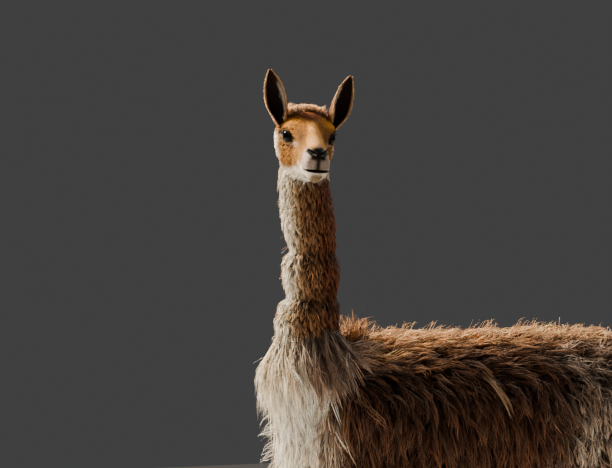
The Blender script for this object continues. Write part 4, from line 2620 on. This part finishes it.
@dataclass(frozen=True)
class WithersTuft(Coat):
    """The curly tuft that stands up behind the neck."""

    spot: Row = (-0.232, 0.0, 0.845)
    reach: Row = (0.024, 0.030, 0.030)
    lie: Row = (0.45, 0.0, 1.0)

    def cover(self, pelt: Pelt) -> Array:
        """The top of the withers."""
        near = bell(pelt.middles, self.spot, self.reach)
        return pelt.on(Part.BODY) * np.where(near > 0.2, near, 0.0) * (1 - near_neck(pelt.middles))

    def shades(self, markings: Markings, roots: Array, normals: Array, parts: Array) -> Array:
        """Golden, and brown in places."""
        brown = eased(0.3, 0.7, markings.streak(roots * 2.5))
        return layered(Tone.GOLDEN.spread(len(roots)), (Tone.BROWN, brown))


@dataclass(frozen=True)
class PaleLock(Coat):
    """The single pale lock that hangs on the left flank."""

    spot: Row = (0.006, -0.128, 0.812)
    reach: float = 0.012
    lie: Row = (0.30, 0.0, -0.95)

    def cover(self, pelt: Pelt) -> Array:
        """A spot on the flank."""
        far = np.linalg.norm(pelt.middles - self.spot, axis=1)
        return pelt.on(Part.BODY) * (far < max(self.reach, far.min() + 0.004))

    def shades(self, markings: Markings, roots: Array, normals: Array, parts: Array) -> Array:
        """Tan, a little paler."""
        return layered(Tone.TAN.spread(len(roots)), (Tone.CREAM, 0.28))


@dataclass(frozen=True)
class Atlas:
    """The bake map: one chart for each part of the body."""

    animal: Vicuna

    def charts(self) -> dict[str, Chart]:
        """Every chart by the part it covers.

        Returns:
            The charts.
        """
        pose = self.animal.pose
        ahead = tuple(pose.turned(np.array((1.0, 0.0, 0.0))))
        under = tuple(pose.turned(np.array((0.0, 0.0, -1.0))))
        head = tuple(pose.placed(np.array((0.0, 0.0, -0.030))))
        along, up = (1, 0, 0), (0, 0, 1)
        found = {
            "trunk": Chart((0.00, 0.00), (0.60, 0.42), (0, 0, 0.690), along, up, (-0.50, 0.60)),
            "neck": Chart((0.00, 0.44), (0.34, 0.30), (-0.326, 0, 0), up, (-1, 0, 0), (0.78, 1.32)),
            "head": Chart((0.36, 0.44), (0.40, 0.40), head, ahead, under, (-0.135, 0.185)),
            "tail": Chart((0.62, 0.00), (0.16, 0.20), (0.512, 0, 0), up, along, (0.50, 0.84)),
        }
        for number, (x, y, _) in enumerate(self.animal.limbs.feet()):
            corner, start = (0.25 * number, 0.87), (x + 0.015, y, 0)
            found[f"leg_{number}"] = Chart(corner, (0.24, 0.12), start, up, along, (-0.06, 0.60))
        for number, ear in enumerate(self.animal.ears):
            length, face, _ = ear.axes()
            start = tuple(pose.placed(ear.foot() + face * ear.half_width))
            ways = tuple(pose.turned(length)), tuple(pose.turned(-face))
            for row in range(2):
                corner = (0.78 + 0.11 * number, 0.44 + 0.20 * row)
                rolled = Chart(corner, (0.10, 0.18), start, *ways, (-0.05, 0.12), flare=0.0)
                found[f"ear_{number}_{row}"] = rolled
        return found

    def names(self, points: Array, normals: Array, parts: Array) -> Array:
        """The chart that each place belongs to.

        Args:
            points: places on the skin.
            normals: the way out of the skin at each.
            parts: the part each belongs to.

        Returns:
            The charts' names.
        """
        found = np.full(len(points), "trunk", dtype="<U8")
        found[near_neck(points) > 0.5] = "neck"
        found[near_tail(points) > 0.5] = "tail"
        found[(near_tail(points) > 0) & (points[:, 0] > 0.49)] = "tail"
        feet = np.array(self.animal.limbs.feet())
        low = (points[:, 2] < 0.52) & (points[:, 0] < 0.46) | (parts == Part.TOE.value)
        nearest = np.linalg.norm(points[:, None, :2] - feet[None, :, :2], axis=2).argmin(axis=1)
        for number in range(len(feet)):
            found[low & (nearest == number)] = f"leg_{number}"
        found[parts == Part.HEAD.value] = "head"
        turned = normals @ self.animal.pose.axes()
        for number, (ear, part) in enumerate(self.animal.ear_parts()):
            inside = (turned @ ear.axes()[1] > 0).astype(int)
            for row in range(2):
                found[(parts == part.value) & (inside == row)] = f"ear_{number}_{row}"
        return found

    def spots(self, points: Array, normals: Array, parts: Array) -> Array:
        """Places on the bake map of places on the skin.

        Args:
            points: places on the skin.
            normals: the way out of the skin at each.
            parts: the part that each belongs to.

        Returns:
            Two shares for each place.
        """
        names = self.names(points, normals, parts)
        found = np.zeros((len(points), 2))
        for name, chart in self.charts().items():
            chosen = names == name
            found[chosen] = chart.placed(chart.laid(points[chosen]))
        return found

    def spread(self, pelt: Pelt) -> Array:
        """Places on the bake map of each triangle's corners, with none torn over a seam.

        Args:
            pelt: the skin's triangles.

        Returns:
            Two shares for each corner.
        """
        names = self.names(pelt.middles, pelt.normals, pelt.parts)
        found = np.zeros((len(pelt.corners), 3, 2))
        for name, chart in self.charts().items():
            chosen = names == name
            middle = chart.laid(pelt.middles[chosen])[:, None]
            laid = chart.laid(pelt.points[pelt.corners[chosen]].reshape(-1, 3)).reshape(-1, 3, 2)
            laid[..., 1] -= np.round(laid[..., 1] - middle[..., 1])
            found[chosen] = chart.placed(laid)
        return found


@dataclass
class Nodes:
    """The nodes of one material, with short ways to add and join them."""

    name: str
    material: bpy.types.Material = field(init=False)
    shader: bpy.types.Node = field(init=False)

    def __post_init__(self) -> None:
        """Starts the material with its shader."""
        self.material = bpy.data.materials.new(self.name)
        self.material.use_nodes = True
        self.shader = self.material.node_tree.nodes["Principled BSDF"]

    def add(self, kind: str, **inputs: object) -> bpy.types.Node:
        """Adds a node and sets its inputs and properties.

        Args:
            kind: the node's type.
            inputs: values or sockets for its inputs, and values for its properties.

        Returns:
            The node.
        """
        node = self.material.node_tree.nodes.new(kind)
        for name, value in inputs.items():
            if hasattr(node, name):
                setattr(node, name, value)
            else:
                self.put(node.inputs[name.replace("_", " ")], value)
        return node

    def put(self, socket: bpy.types.NodeSocket, value: object) -> None:
        """Links a socket to another, or sets it to a value.

        Args:
            socket: the socket.
            value: another socket, or a value.
        """
        if isinstance(value, bpy.types.NodeSocket):
            self.material.node_tree.links.new(value, socket)
        else:
            socket.default_value = value

    def set(self, **inputs: object) -> None:
        """Sets inputs of the shader."""
        for name, value in inputs.items():
            self.put(self.shader.inputs[name.replace("_", " ")], value)

    def markings(self) -> bpy.types.NodeSocket:
        """The colour that the mesh carries."""
        return self.add("ShaderNodeAttribute", attribute_name=MARKINGS).outputs["Color"]

    def place(self) -> bpy.types.NodeSocket:
        """The place on the object."""
        return self.add("ShaderNodeTexCoord").outputs["Object"]

    def noise(self, scale: float, detail: float = 3.0, place: object = None) -> bpy.types.NodeSocket:
        """Noise over the object, from 0 to 1."""
        where = place if place is not None else self.place()
        return self.add("ShaderNodeTexNoise", Vector=where, Scale=scale, Detail=detail).outputs["Fac"]

    def stretched(self, scale: Row) -> bpy.types.NodeSocket:
        """The place on the object, drawn out along its axes."""
        return self.add("ShaderNodeMapping", Vector=self.place(), Scale=scale).outputs["Vector"]

    def between(self, low: float, high: float, share: object) -> bpy.types.NodeSocket:
        """A value from low to high as a share goes from 0 to 1.

        Args:
            low: the value where the share is 0.
            high: the value where it is 1.
            share: the share.

        Returns:
            The socket that carries it.
        """
        node = self.add("ShaderNodeMapRange")
        self.put(node.inputs["Value"], share)
        self.put(node.inputs["To Min"], low)
        self.put(node.inputs["To Max"], high)
        return node.outputs["Result"]

    def scaled(self, colour: object, factor: object) -> bpy.types.NodeSocket:
        """A colour made lighter or darker by a factor.

        Args:
            colour: the colour.
            factor: what it is multiplied by.

        Returns:
            The socket that carries it.
        """
        node = self.add("ShaderNodeVectorMath", operation="SCALE")
        self.put(node.inputs[0], colour)
        self.put(node.inputs["Scale"], factor)
        return node.outputs["Vector"]

    def mixed(self, share: object, first: object, second: object) -> bpy.types.NodeSocket:
        """A colour between two.

        Args:
            share: the share.
            first: the colour where the share is 0.
            second: the colour where it is 1.

        Returns:
            The socket that carries it.
        """
        node = self.add("ShaderNodeMix", data_type="RGBA")
        self.put(node.inputs["Factor"], share)
        self.put(node.inputs["A"], first)
        self.put(node.inputs["B"], second)
        return node.outputs["Result"]

    def bumped(self, height: object, strength: float, distance: float) -> bpy.types.NodeSocket:
        """A surface way bent by a height.

        Args:
            height: the height.
            strength: how much the height counts.
            distance: how high it stands.

        Returns:
            The socket that carries it.
        """
        return self.add(
            "ShaderNodeBump", Height=height, Strength=strength, Distance=distance
        ).outputs["Normal"]


@dataclass(frozen=True)
class HairFinish:
    """Soft hair: its markings with finer streaks, and a low sheen."""

    name: str = "hair"
    roughness: tuple[float, float] = (0.48, 0.68)
    grain: float = 420.0
    specular: float = 0.20
    sheen: float = 0.05
    sheen_roughness: float = 0.45

    def made(self) -> bpy.types.Material:
        """Builds the finish.

        Returns:
            The material.
        """
        nodes = Nodes(self.name)
        fine = nodes.noise(self.grain, 2.0)
        broad = nodes.noise(26.0, 4.0)
        colour = nodes.scaled(nodes.markings(), nodes.between(0.80, 1.20, fine))
        colour = nodes.scaled(colour, nodes.between(0.86, 1.14, broad))
        nodes.set(Base_Color=colour, Roughness=nodes.between(*self.roughness, fine))
        nodes.set(Normal=nodes.bumped(fine, 0.35, 0.0006))
        nodes.shader.inputs["Specular IOR Level"].default_value = self.specular
        nodes.shader.inputs["Sheen Weight"].default_value = self.sheen
        nodes.shader.inputs["Sheen Roughness"].default_value = self.sheen_roughness
        return nodes.material


@dataclass(frozen=True)
class HideFinish:
    """The skin under the coat: matt and streaked where it is furred, moist and pebbled where bare."""

    name: str = "hide"
    furred: float = 0.85
    bare: float = 0.60
    specular: float = 0.10
    strand: Row = (520.0, 520.0, 130.0)

    def made(self) -> bpy.types.Material:
        """Builds the finish.

        Returns:
            The material.
        """
        nodes = Nodes(self.name)
        bare = nodes.add("ShaderNodeAttribute", attribute_name="bare").outputs["Fac"]
        strands = nodes.noise(1.0, 3.0, nodes.stretched(self.strand))
        pebbles = nodes.add("ShaderNodeTexVoronoi", Vector=nodes.place(), Scale=900.0).outputs["Distance"]
        broad = nodes.noise(40.0, 4.0)
        colour = nodes.scaled(nodes.markings(), nodes.between(0.72, 1.22, strands))
        colour = nodes.scaled(colour, nodes.between(0.88, 1.12, broad))
        nodes.set(Base_Color=colour, Roughness=nodes.between(self.furred, self.bare, bare))
        furred = nodes.bumped(strands, 0.55, 0.0010)
        grain = nodes.add("ShaderNodeBump", Height=pebbles, Strength=0.15, Distance=0.0004, Normal=furred)
        nodes.set(Normal=grain.outputs["Normal"])
        nodes.shader.inputs["Specular IOR Level"].default_value = self.specular
        return nodes.material


@dataclass(frozen=True)
class EyeFinish:
    """A wet, dark eye, smooth enough to mirror the lights."""

    name: str = "wet_eye"
    roughness: tuple[float, float] = (0.08, 0.13)
    index: float = 1.38
    specular: float = 0.10

    def made(self) -> bpy.types.Material:
        """Builds the finish.

        Returns:
            The material.
        """
        nodes = Nodes(self.name)
        flecks = nodes.noise(700.0, 3.0)
        colour = nodes.scaled(nodes.markings(), nodes.between(0.6, 1.5, flecks))
        nodes.set(Base_Color=colour, Roughness=nodes.between(*self.roughness, flecks))
        nodes.shader.inputs["IOR"].default_value = self.index
        nodes.shader.inputs["Specular IOR Level"].default_value = self.specular
        return nodes.material


@dataclass(frozen=True)
class HornFinish:
    """Dull dark horn, ridged across and worn paler."""

    name: str = "horn"
    dark: Row = (0.030, 0.022, 0.017, 1.0)
    worn: Row = (0.120, 0.092, 0.068, 1.0)

    def made(self) -> bpy.types.Material:
        """Builds the finish.

        Returns:
            The material.
        """
        nodes = Nodes(self.name)
        growth = nodes.add(
            "ShaderNodeTexWave", Vector=nodes.place(), Scale=160.0, Distortion=3.0, Detail=2.0
        ).outputs["Fac"]
        patches = nodes.noise(120.0, 4.0)
        nodes.set(Base_Color=nodes.mixed(patches, self.dark, self.worn))
        nodes.set(Roughness=nodes.between(0.42, 0.66, patches))
        nodes.set(Normal=nodes.bumped(growth, 0.25, 0.0004))
        return nodes.material


@dataclass(frozen=True)
class FloorFinish:
    """A plain pale floor with a fine grain."""

    name: str = "pale_floor"
    dark: Row = (0.70, 0.69, 0.67, 1.0)
    light: Row = (0.76, 0.75, 0.73, 1.0)

    def made(self) -> bpy.types.Material:
        """Builds the finish.

        Returns:
            The material.
        """
        nodes = Nodes(self.name)
        grain = nodes.noise(30.0, 5.0)
        nodes.set(Base_Color=nodes.mixed(grain, self.dark, self.light))
        nodes.set(Roughness=nodes.between(0.75, 0.9, grain))
        nodes.set(Normal=nodes.bumped(grain, 0.05, 0.001))
        return nodes.material


@dataclass(frozen=True)
class EyeBall:
    """One glossy eye with a wide dark pupil."""

    animal: Vicuna
    side: int
    segments: int = 64
    rings: int = 48
    cornea: float = 0.035
    cornea_reach: float = 0.55
    iris: Row = (0.0060, 0.0042, 0.0040)
    pupil: Row = (0.0012, 0.0012, 0.0016)
    pupil_half: tuple[float, float] = (0.40, 0.26)
    white: Row = (0.060, 0.040, 0.032)

    def piece(self, name: str, shift: Array) -> bpy.types.Object:
        """The eye as an object with its colours and its bake map.

        Args:
            name: the object's name.
            shift: how far the frame's model stands from the design's own place.

        Returns:
            The object.
        """
        eye = self.animal.head.eye
        gaze, across, up = eye.axes(self.side)
        tilt = np.linspace(0.02, math.pi - 0.02, self.rings)[:, None]
        turn = np.linspace(0, 2 * math.pi, self.segments, endpoint=False)
        far = eye.radius * (1 + self.cornea * hump(tilt, 0.0, self.cornea_reach))
        ways = (
            gaze * np.cos(tilt)[..., None]
            + (across * np.cos(turn)[:, None] + up * np.sin(turn)[:, None]) * np.sin(tilt)[..., None]
        )
        shape = lofted(ways * far[..., None] + eye.middle(self.side))
        offset = unit(shape.points - eye.middle(self.side))
        a, b, ahead = offset @ across, offset @ up, offset @ gaze
        shape.points = self.animal.pose.placed(shape.points) + shift
        ball = shape.made(name)
        out = np.hypot(a, b)
        pupil = np.hypot(a / self.pupil_half[0], b / self.pupil_half[1])
        colour = np.tile(self.iris, (len(a), 1)) * (1 - 0.55 * eased(0.50, 0.66, out))[:, None]
        colour = blend(colour, self.pupil, eased(1.10, 0.92, pupil))
        colour = blend(colour, self.white, np.clip(eased(0.80, 0.90, out) + (ahead < 0), 0, 1))
        painted(ball.data, colour)
        tilted = np.arccos(np.clip(ahead, -1, 1)) / math.pi
        flat = 0.5 + 0.48 * tilted[:, None] * unit(np.stack([a, b], axis=1) + 1e-6)
        corners = np.empty(len(ball.data.loops), np.int32)
        ball.data.loops.foreach_get("vertex_index", corners)
        layer = ball.data.uv_layers.new(name=BAKE_MAP)
        layer.uv.foreach_set("vector", flat[corners].astype(np.float32).ravel())
        ball.data.polygons.foreach_set("use_smooth", np.ones(len(ball.data.polygons), bool))
        return ball


@dataclass(frozen=True)
class Lamp:
    """A square soft light, placed from the aim: to the picture's right, to the camera and up."""

    name: str
    right: float
    back: float
    up: float
    size: float
    power: float
    colour: Row

    def lit(self, aim: Array, back: Array, right: Array) -> None:
        """Sets the lamp up.

        Args:
            aim: what it points at.
            back: the way from the aim to the camera.
            right: the way to the picture's right.
        """
        lamp = bpy.data.lights.new(self.name, "AREA")
        lamp.size = self.size
        lamp.energy = self.power
        lamp.color = self.colour
        thing = bpy.data.objects.new(self.name, lamp)
        bpy.context.scene.collection.objects.link(thing)
        place = aim + right * self.right + back * self.back - DOWN * self.up
        thing.location = Vector(place)
        thing.rotation_euler = Vector(aim - place).to_track_quat("-Z", "Y").to_euler()


@dataclass(frozen=True)
class Studio:
    """The floor, the lights and the camera."""

    aim: Row = (-0.3335, 0.0019, 1.088)
    azimuth_deg: float = -28.0
    elevation_deg: float = 2.0
    distance: float = 10.2
    lens: float = 300.0
    sensor: float = 36.0
    farthest: float = 100.0
    floor: float = 14.0
    sky: Row = (0.90, 0.90, 0.92, 1.0)
    sky_strength: float = 0.065
    lamps: tuple[Lamp, ...] = (
        Lamp("sun_side", -2.6, -1.6, 2.2, 0.6, 950.0, (1.0, 0.87, 0.67)),
        Lamp("front_fill", -1.2, 3.0, 1.1, 2.4, 11.0, (1.0, 0.90, 0.80)),
        Lamp("rim_soft", 1.2, -1.4, 2.0, 1.4, 75.0, (1.0, 0.90, 0.76)),
    )

    def ways(self) -> tuple[Array, Array]:
        """The way from the aim to the camera, and the way to its right.

        Returns:
            Two ways of length one.
        """
        turn, rise = math.radians(self.azimuth_deg), math.radians(self.elevation_deg)
        back = np.array(
            [math.sin(turn) * math.cos(rise), -math.cos(turn) * math.cos(rise), math.sin(rise)]
        )
        return back, np.array([math.cos(turn), math.sin(turn), 0.0])

    def camera(self, shift: Array) -> None:
        """Sets the camera where the picture was taken from.

        Args:
            shift: how far the frame's model stands from the design's own place.
        """
        back, _ = self.ways()
        lens = bpy.data.cameras.new("camera")
        lens.lens = self.lens
        lens.sensor_width = self.sensor
        lens.clip_end = self.farthest
        thing = bpy.data.objects.new("camera", lens)
        bpy.context.scene.collection.objects.link(thing)
        thing.location = Vector(np.array(self.aim) + shift + back * self.distance)
        thing.rotation_euler = Vector(-back).to_track_quat("-Z", "Y").to_euler()
        bpy.context.scene.camera = thing

    def lit(self, shift: Array) -> None:
        """Lights the model: warm from behind on the left, soft in front and behind, and a pale sky.

        Args:
            shift: how far the frame's model stands from the design's own place.
        """
        for lamp in self.lamps:
            lamp.lit(np.array(self.aim) + shift, *self.ways())
        world = bpy.data.worlds.new("pale_room")
        world.use_nodes = True
        sky = world.node_tree.nodes["Background"]
        sky.inputs["Color"].default_value = self.sky
        sky.inputs["Strength"].default_value = self.sky_strength
        bpy.context.scene.world = world

    def ground(self) -> None:
        """Lays the floor."""
        half = self.floor / 2
        corners = [(-half, -half, 0.0), (half, -half, 0.0), (half, half, 0.0), (-half, half, 0.0)]
        mesh = bpy.data.meshes.new("floor")
        mesh.from_pydata(corners, [], [(0, 1, 2, 3)])
        mesh.materials.append(FloorFinish().made())
        thing = bpy.data.objects.new("floor", mesh)
        bpy.context.scene.collection.objects.link(thing)


@dataclass(frozen=True)
class Dressing:
    """Everything that is laid over the frame, and what it stands for."""

    animal: Vicuna = Vicuna()
    weave: Weave = Weave()
    skin_shade: float = 0.86
    roll_seed: int = 100
    # Where the trunk's coat and the neck's are divided into pieces
    shoulder_end: float = -0.12
    haunch_start: float = 0.15
    neck_split: float = 1.02

    def coats(self) -> list[Coat]:
        """Every kind of coat that the animal wears.

        Returns:
            The coats.
        """
        return [
            Fleece(
                "coat_body", tufts=31500, locks=6500, length=0.112, depth=0.044, width=0.0023, seed=11,
                rings=4, clump=0.80, curl=0.0050, dark_root=0.10, light_tip=1.50, lock_shade=0.36,
                tuft_shade=0.24, scatter=0.20, bloom=1.4, bleach=0.5,
            ),
            NeckWool(
                "coat_neck", tufts=14800, locks=4400, length=0.029, depth=0.020, width=0.0016, seed=12,
                rings=3, clump=0.60, curl=0.0012, hang=0.30, climb=0.60, steps=5, dark_root=0.12,
                light_tip=1.35, tuft_shade=0.24, lock_shade=0.24, scatter=0.18,
            ),
            Collar(
                "coat_collar", tufts=3500, locks=460, length=0.150, depth=0.044, width=0.0019, seed=13,
                rings=4, clump=0.78, curl=0.0055, hang=0.80, dark_root=0.22, light_tip=1.3,
                tuft_shade=0.24, lock_shade=0.30, scatter=0.16,
            ),
            Bib(
                "coat_bib", tufts=3700, locks=460, length=0.125, depth=0.028, width=0.0020, seed=14,
                rings=4, clump=0.80, curl=0.0040, hang=0.70, dark_root=0.25, light_tip=1.2,
                lock_shade=0.28, tuft_shade=0.22, scatter=0.14,
            ),
            TailHair(
                "coat_tail", tufts=1400, locks=300, length=0.095, depth=0.026, width=0.0025, seed=15,
                rings=4, clump=0.70, curl=0.003, hang=0.7,
            ),
            LegFur(
                "coat_legs", tufts=7500, locks=2400, length=0.014, depth=0.0030, width=0.0015, seed=16,
                rings=2, clump=0.40, curl=0.0004, hang=0.3, climb=0.2, steps=3,
            ),
            HeadFur(
                "coat_head", tufts=17500, locks=4200, length=0.0115, depth=0.0007, width=0.0012,
                seed=17, rings=2, clump=0.25, curl=0.0002, hang=0.0, climb=0.01, steps=3, sink=0.0006,
                least=0.0001, dark_root=0.95, light_tip=1.0, tuft_shade=0.08, lock_shade=0.10,
                roll_deg=5.0, scatter=0.05,
            ),
            Crown(
                "coat_crown", tufts=1500, locks=300, length=0.024, depth=0.015, width=0.0011, seed=19,
                rings=3, clump=0.55, curl=0.0030, hang=0.9, climb=0.5, steps=5, scatter=0.24,
                dark_root=0.45, light_tip=1.25,
            ),
            Lashes(
                "lashes", tufts=110, locks=110, length=0.0085, depth=0.0, width=0.0006, seed=20,
                rings=3, clump=0.0, curl=0.0, hang=1.0, climb=0.0, steps=4, scatter=0.10, sink=0.0006,
                least=0.0, dark_root=1.0, light_tip=1.0,
            ),
            EarFur(
                "coat_ears", tufts=5000, locks=1600, length=0.0075, depth=0.0010, width=0.0008, seed=18,
                rings=2, clump=0.35, curl=0.0003, hang=0.2, climb=0.06, steps=3, sink=0.0008,
                least=0.0003, dark_root=0.75, scatter=0.08, roll_deg=20.0,
            ),
            EarStreak(
                "ear_streaks", tufts=800, locks=260, length=0.018, depth=0.0022, width=0.0008, seed=22,
                rings=2, clump=0.4, curl=0.0006, hang=0.6, climb=0.2, steps=4, sink=0.0006,
                least=0.0004, dark_root=0.6, scatter=0.10,
            ),
            Strays(
                "strays", tufts=1100, locks=460, length=0.044, depth=0.050, width=0.0008, seed=23,
                rings=4, clump=0.45, curl=0.0040, hang=0.90, climb=0.50, scatter=0.30, dark_root=0.8,
                light_tip=1.4,
            ),
            WithersTuft(
                "withers_tuft", tufts=480, locks=120, length=0.050, depth=0.052, width=0.0011, seed=24,
                rings=5, clump=0.5, curl=0.0100, hang=1.0, climb=0.8, scatter=0.30, dark_root=0.45,
                light_tip=1.4,
            ),
            PaleLock(
                "pale_lock", tufts=34, locks=3, length=0.125, depth=0.052, width=0.0034, seed=25,
                rings=5, clump=0.93, curl=0.002, hang=0.9, climb=0.8, dark_root=0.6, lock_shade=0.05,
            ),
        ]

    def sides(self, name: str, roots: Array) -> dict[str, Array]:
        """Divides a coat into pieces by where its tufts are rooted.

        Args:
            name: the coat's name.
            roots: the roots of its tufts.

        Returns:
            Which tufts each piece takes, by the piece's name.
        """
        x, y, z = roots.T
        left = y < 0
        if name == "coat_body":
            shoulder, haunch = x < self.shoulder_end, x >= self.haunch_start
            thirds = {"shoulder": shoulder, "barrel": ~shoulder & ~haunch, "haunch": haunch}
            return {
                f"coat_{third}_{side}": where & chosen
                for third, where in thirds.items()
                for side, chosen in (("left", left), ("right", ~left))
            }
        if name == "coat_neck":
            low = z < self.neck_split
            return {"coat_neck_lower": low, "coat_neck_upper": ~low}
        if name == "coat_legs":
            return {
                f"coat_leg_{end}_{side}": where & chosen
                for end, where in (("front", x < 0), ("rear", x >= 0))
                for side, chosen in (("left", left), ("right", ~left))
            }
        if name == "coat_head":
            seen = self.animal.pose.seen(roots)
            return {"coat_head_left": seen[:, 1] > 0, "coat_head_right": seen[:, 1] <= 0}
        if name == "coat_ears":
            seen = self.animal.pose.seen(roots)
            return {"coat_ear_left": seen[:, 1] > 0, "coat_ear_right": seen[:, 1] <= 0}
        return {name: np.ones(len(roots), bool)}

    def dress(self) -> None:
        """Builds every piece and sets it on the frame."""
        shift = self.animal.shift()
        atlas = Atlas(self.animal)
        markings = Markings(self.animal)
        skin = self.animal.skin("skin")
        pelt = Pelt.over(skin)
        LOG.info("skin: %d triangles", len(pelt.corners))
        skin = self.covered(skin, pelt, atlas, markings)
        self.coated(pelt, atlas, markings, shift)
        skin = self.settled(skin, HideFinish().made(), shift)
        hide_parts(*self.flesh())
        self.eyed(shift)
        self.hoofed()

    def coated(self, pelt: Pelt, atlas: Atlas, markings: Markings, shift: Array) -> None:
        """Grows every coat and sets its pieces on the frame.

        Args:
            pelt: the skin's triangles.
            atlas: the bake map.
            markings: the animal's colours.
            shift: how far the frame's model stands from the design's own place.
        """
        hair = HairFinish().made()
        short_hair = HairFinish("short_hair", (0.70, 0.88), specular=0.03, sheen=0.0).made()
        for coat in self.coats():
            tufts, roots, picks = coat.grown(pelt, markings)
            spots = atlas.spots(roots, pelt.normals[picks], pelt.parts[picks])
            for name, chosen in self.sides(coat.name, roots).items():
                rng = np.random.default_rng(coat.seed + self.roll_seed)
                piece = self.weave.made(name, tufts.part(chosen), spots[chosen], coat.roll_deg, rng)
                finish = short_hair if coat.name == "coat_head" else hair
                self.settled(piece, finish, shift)
                LOG.info("%s: %d tufts, %d triangles", name, chosen.sum(), len(piece.data.polygons))

    def eyed(self, shift: Array) -> None:
        """Sets both eyes in the head.

        Args:
            shift: how far the frame's model stands from the design's own place.
        """
        eye = EyeFinish().made()
        for side, name in ((1, "eye_left"), (-1, "eye_right")):
            ball = EyeBall(self.animal, side).piece("ball_" + name, shift)
            ball.data.materials.append(eye)
            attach(ball, "root")
            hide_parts(name)
            LOG.info("%s: %d faces", ball.name, len(ball.data.polygons))

    def hoofed(self) -> None:
        """Gives the frame's toenails their horn."""
        horn = HornFinish().made()
        for name, node in frame["nodes"].items():
            if name.startswith("toenail"):
                node.data.materials.clear()
                node.data.materials.append(horn)
                LOG.info("%s: horn", name)

    def flesh(self) -> list[str]:
        """The frame's nodes that the skin stands for."""
        return [name for name in frame["nodes"] if not name.startswith(("toenail", "eye"))]

    def covered(
        self, skin: bpy.types.Object, pelt: Pelt, atlas: Atlas, markings: Markings
    ) -> bpy.types.Object:
        """The skin as triangles with its bake map, its markings and where it is bare.

        Args:
            skin: the skin as it was joined, which is removed.
            pelt: its triangles.
            atlas: the bake map.
            markings: its colours.

        Returns:
            The new skin.
        """
        normals = np.zeros_like(pelt.points)
        parts = np.zeros(len(pelt.points), np.int32)
        for corner in range(3):
            np.add.at(normals, pelt.corners[:, corner], pelt.normals * pelt.areas[:, None])
            parts[pelt.corners[:, corner]] = np.maximum(parts[pelt.corners[:, corner]], pelt.parts)
        normals = unit(normals)
        shade = markings.at(pelt.points, normals, parts) * self.skin_shade
        spread = atlas.spread(pelt)
        bpy.data.objects.remove(skin)
        again = meshed("skin", pelt.points, pelt.corners, np.zeros((len(pelt.points), 2)), shade)
        again.data.uv_layers[BAKE_MAP].uv.foreach_set("vector", spread.astype(np.float32).ravel())
        seen = self.animal.pose.seen(pelt.points)
        bare = np.where(parts == Part.HEAD.value, self.animal.head.bare(seen), 0.0)
        layer = again.data.attributes.new("bare", "FLOAT", "POINT")
        layer.data.foreach_set("value", bare.astype(np.float32))
        return again

    def settled(
        self, piece: bpy.types.Object, finish: bpy.types.Material, shift: Array
    ) -> bpy.types.Object:
        """Moves a piece onto the frame, dresses it and sets it to ride.

        Args:
            piece: the piece.
            finish: its material.
            shift: how far the frame's model stands from the design's own place.

        Returns:
            The same piece.
        """
        points = np.empty(len(piece.data.vertices) * 3, np.float32)
        piece.data.vertices.foreach_get("co", points)
        moved = points.reshape(-1, 3) + shift.astype(np.float32)
        piece.data.vertices.foreach_set("co", moved.ravel())
        piece.data.update()
        piece.data.materials.append(finish)
        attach(piece, "root")
        return piece


def main() -> None:
    """Builds the studio and the model, and notes both boxes."""
    logging.basicConfig(level=logging.INFO, format="%(message)s")
    studio = Studio()
    dressing = Dressing()
    shift = dressing.animal.shift()
    studio.camera(shift)
    studio.lit(shift)
    studio.ground()
    dressing.dress()


if __name__ == "__main__":
    main()
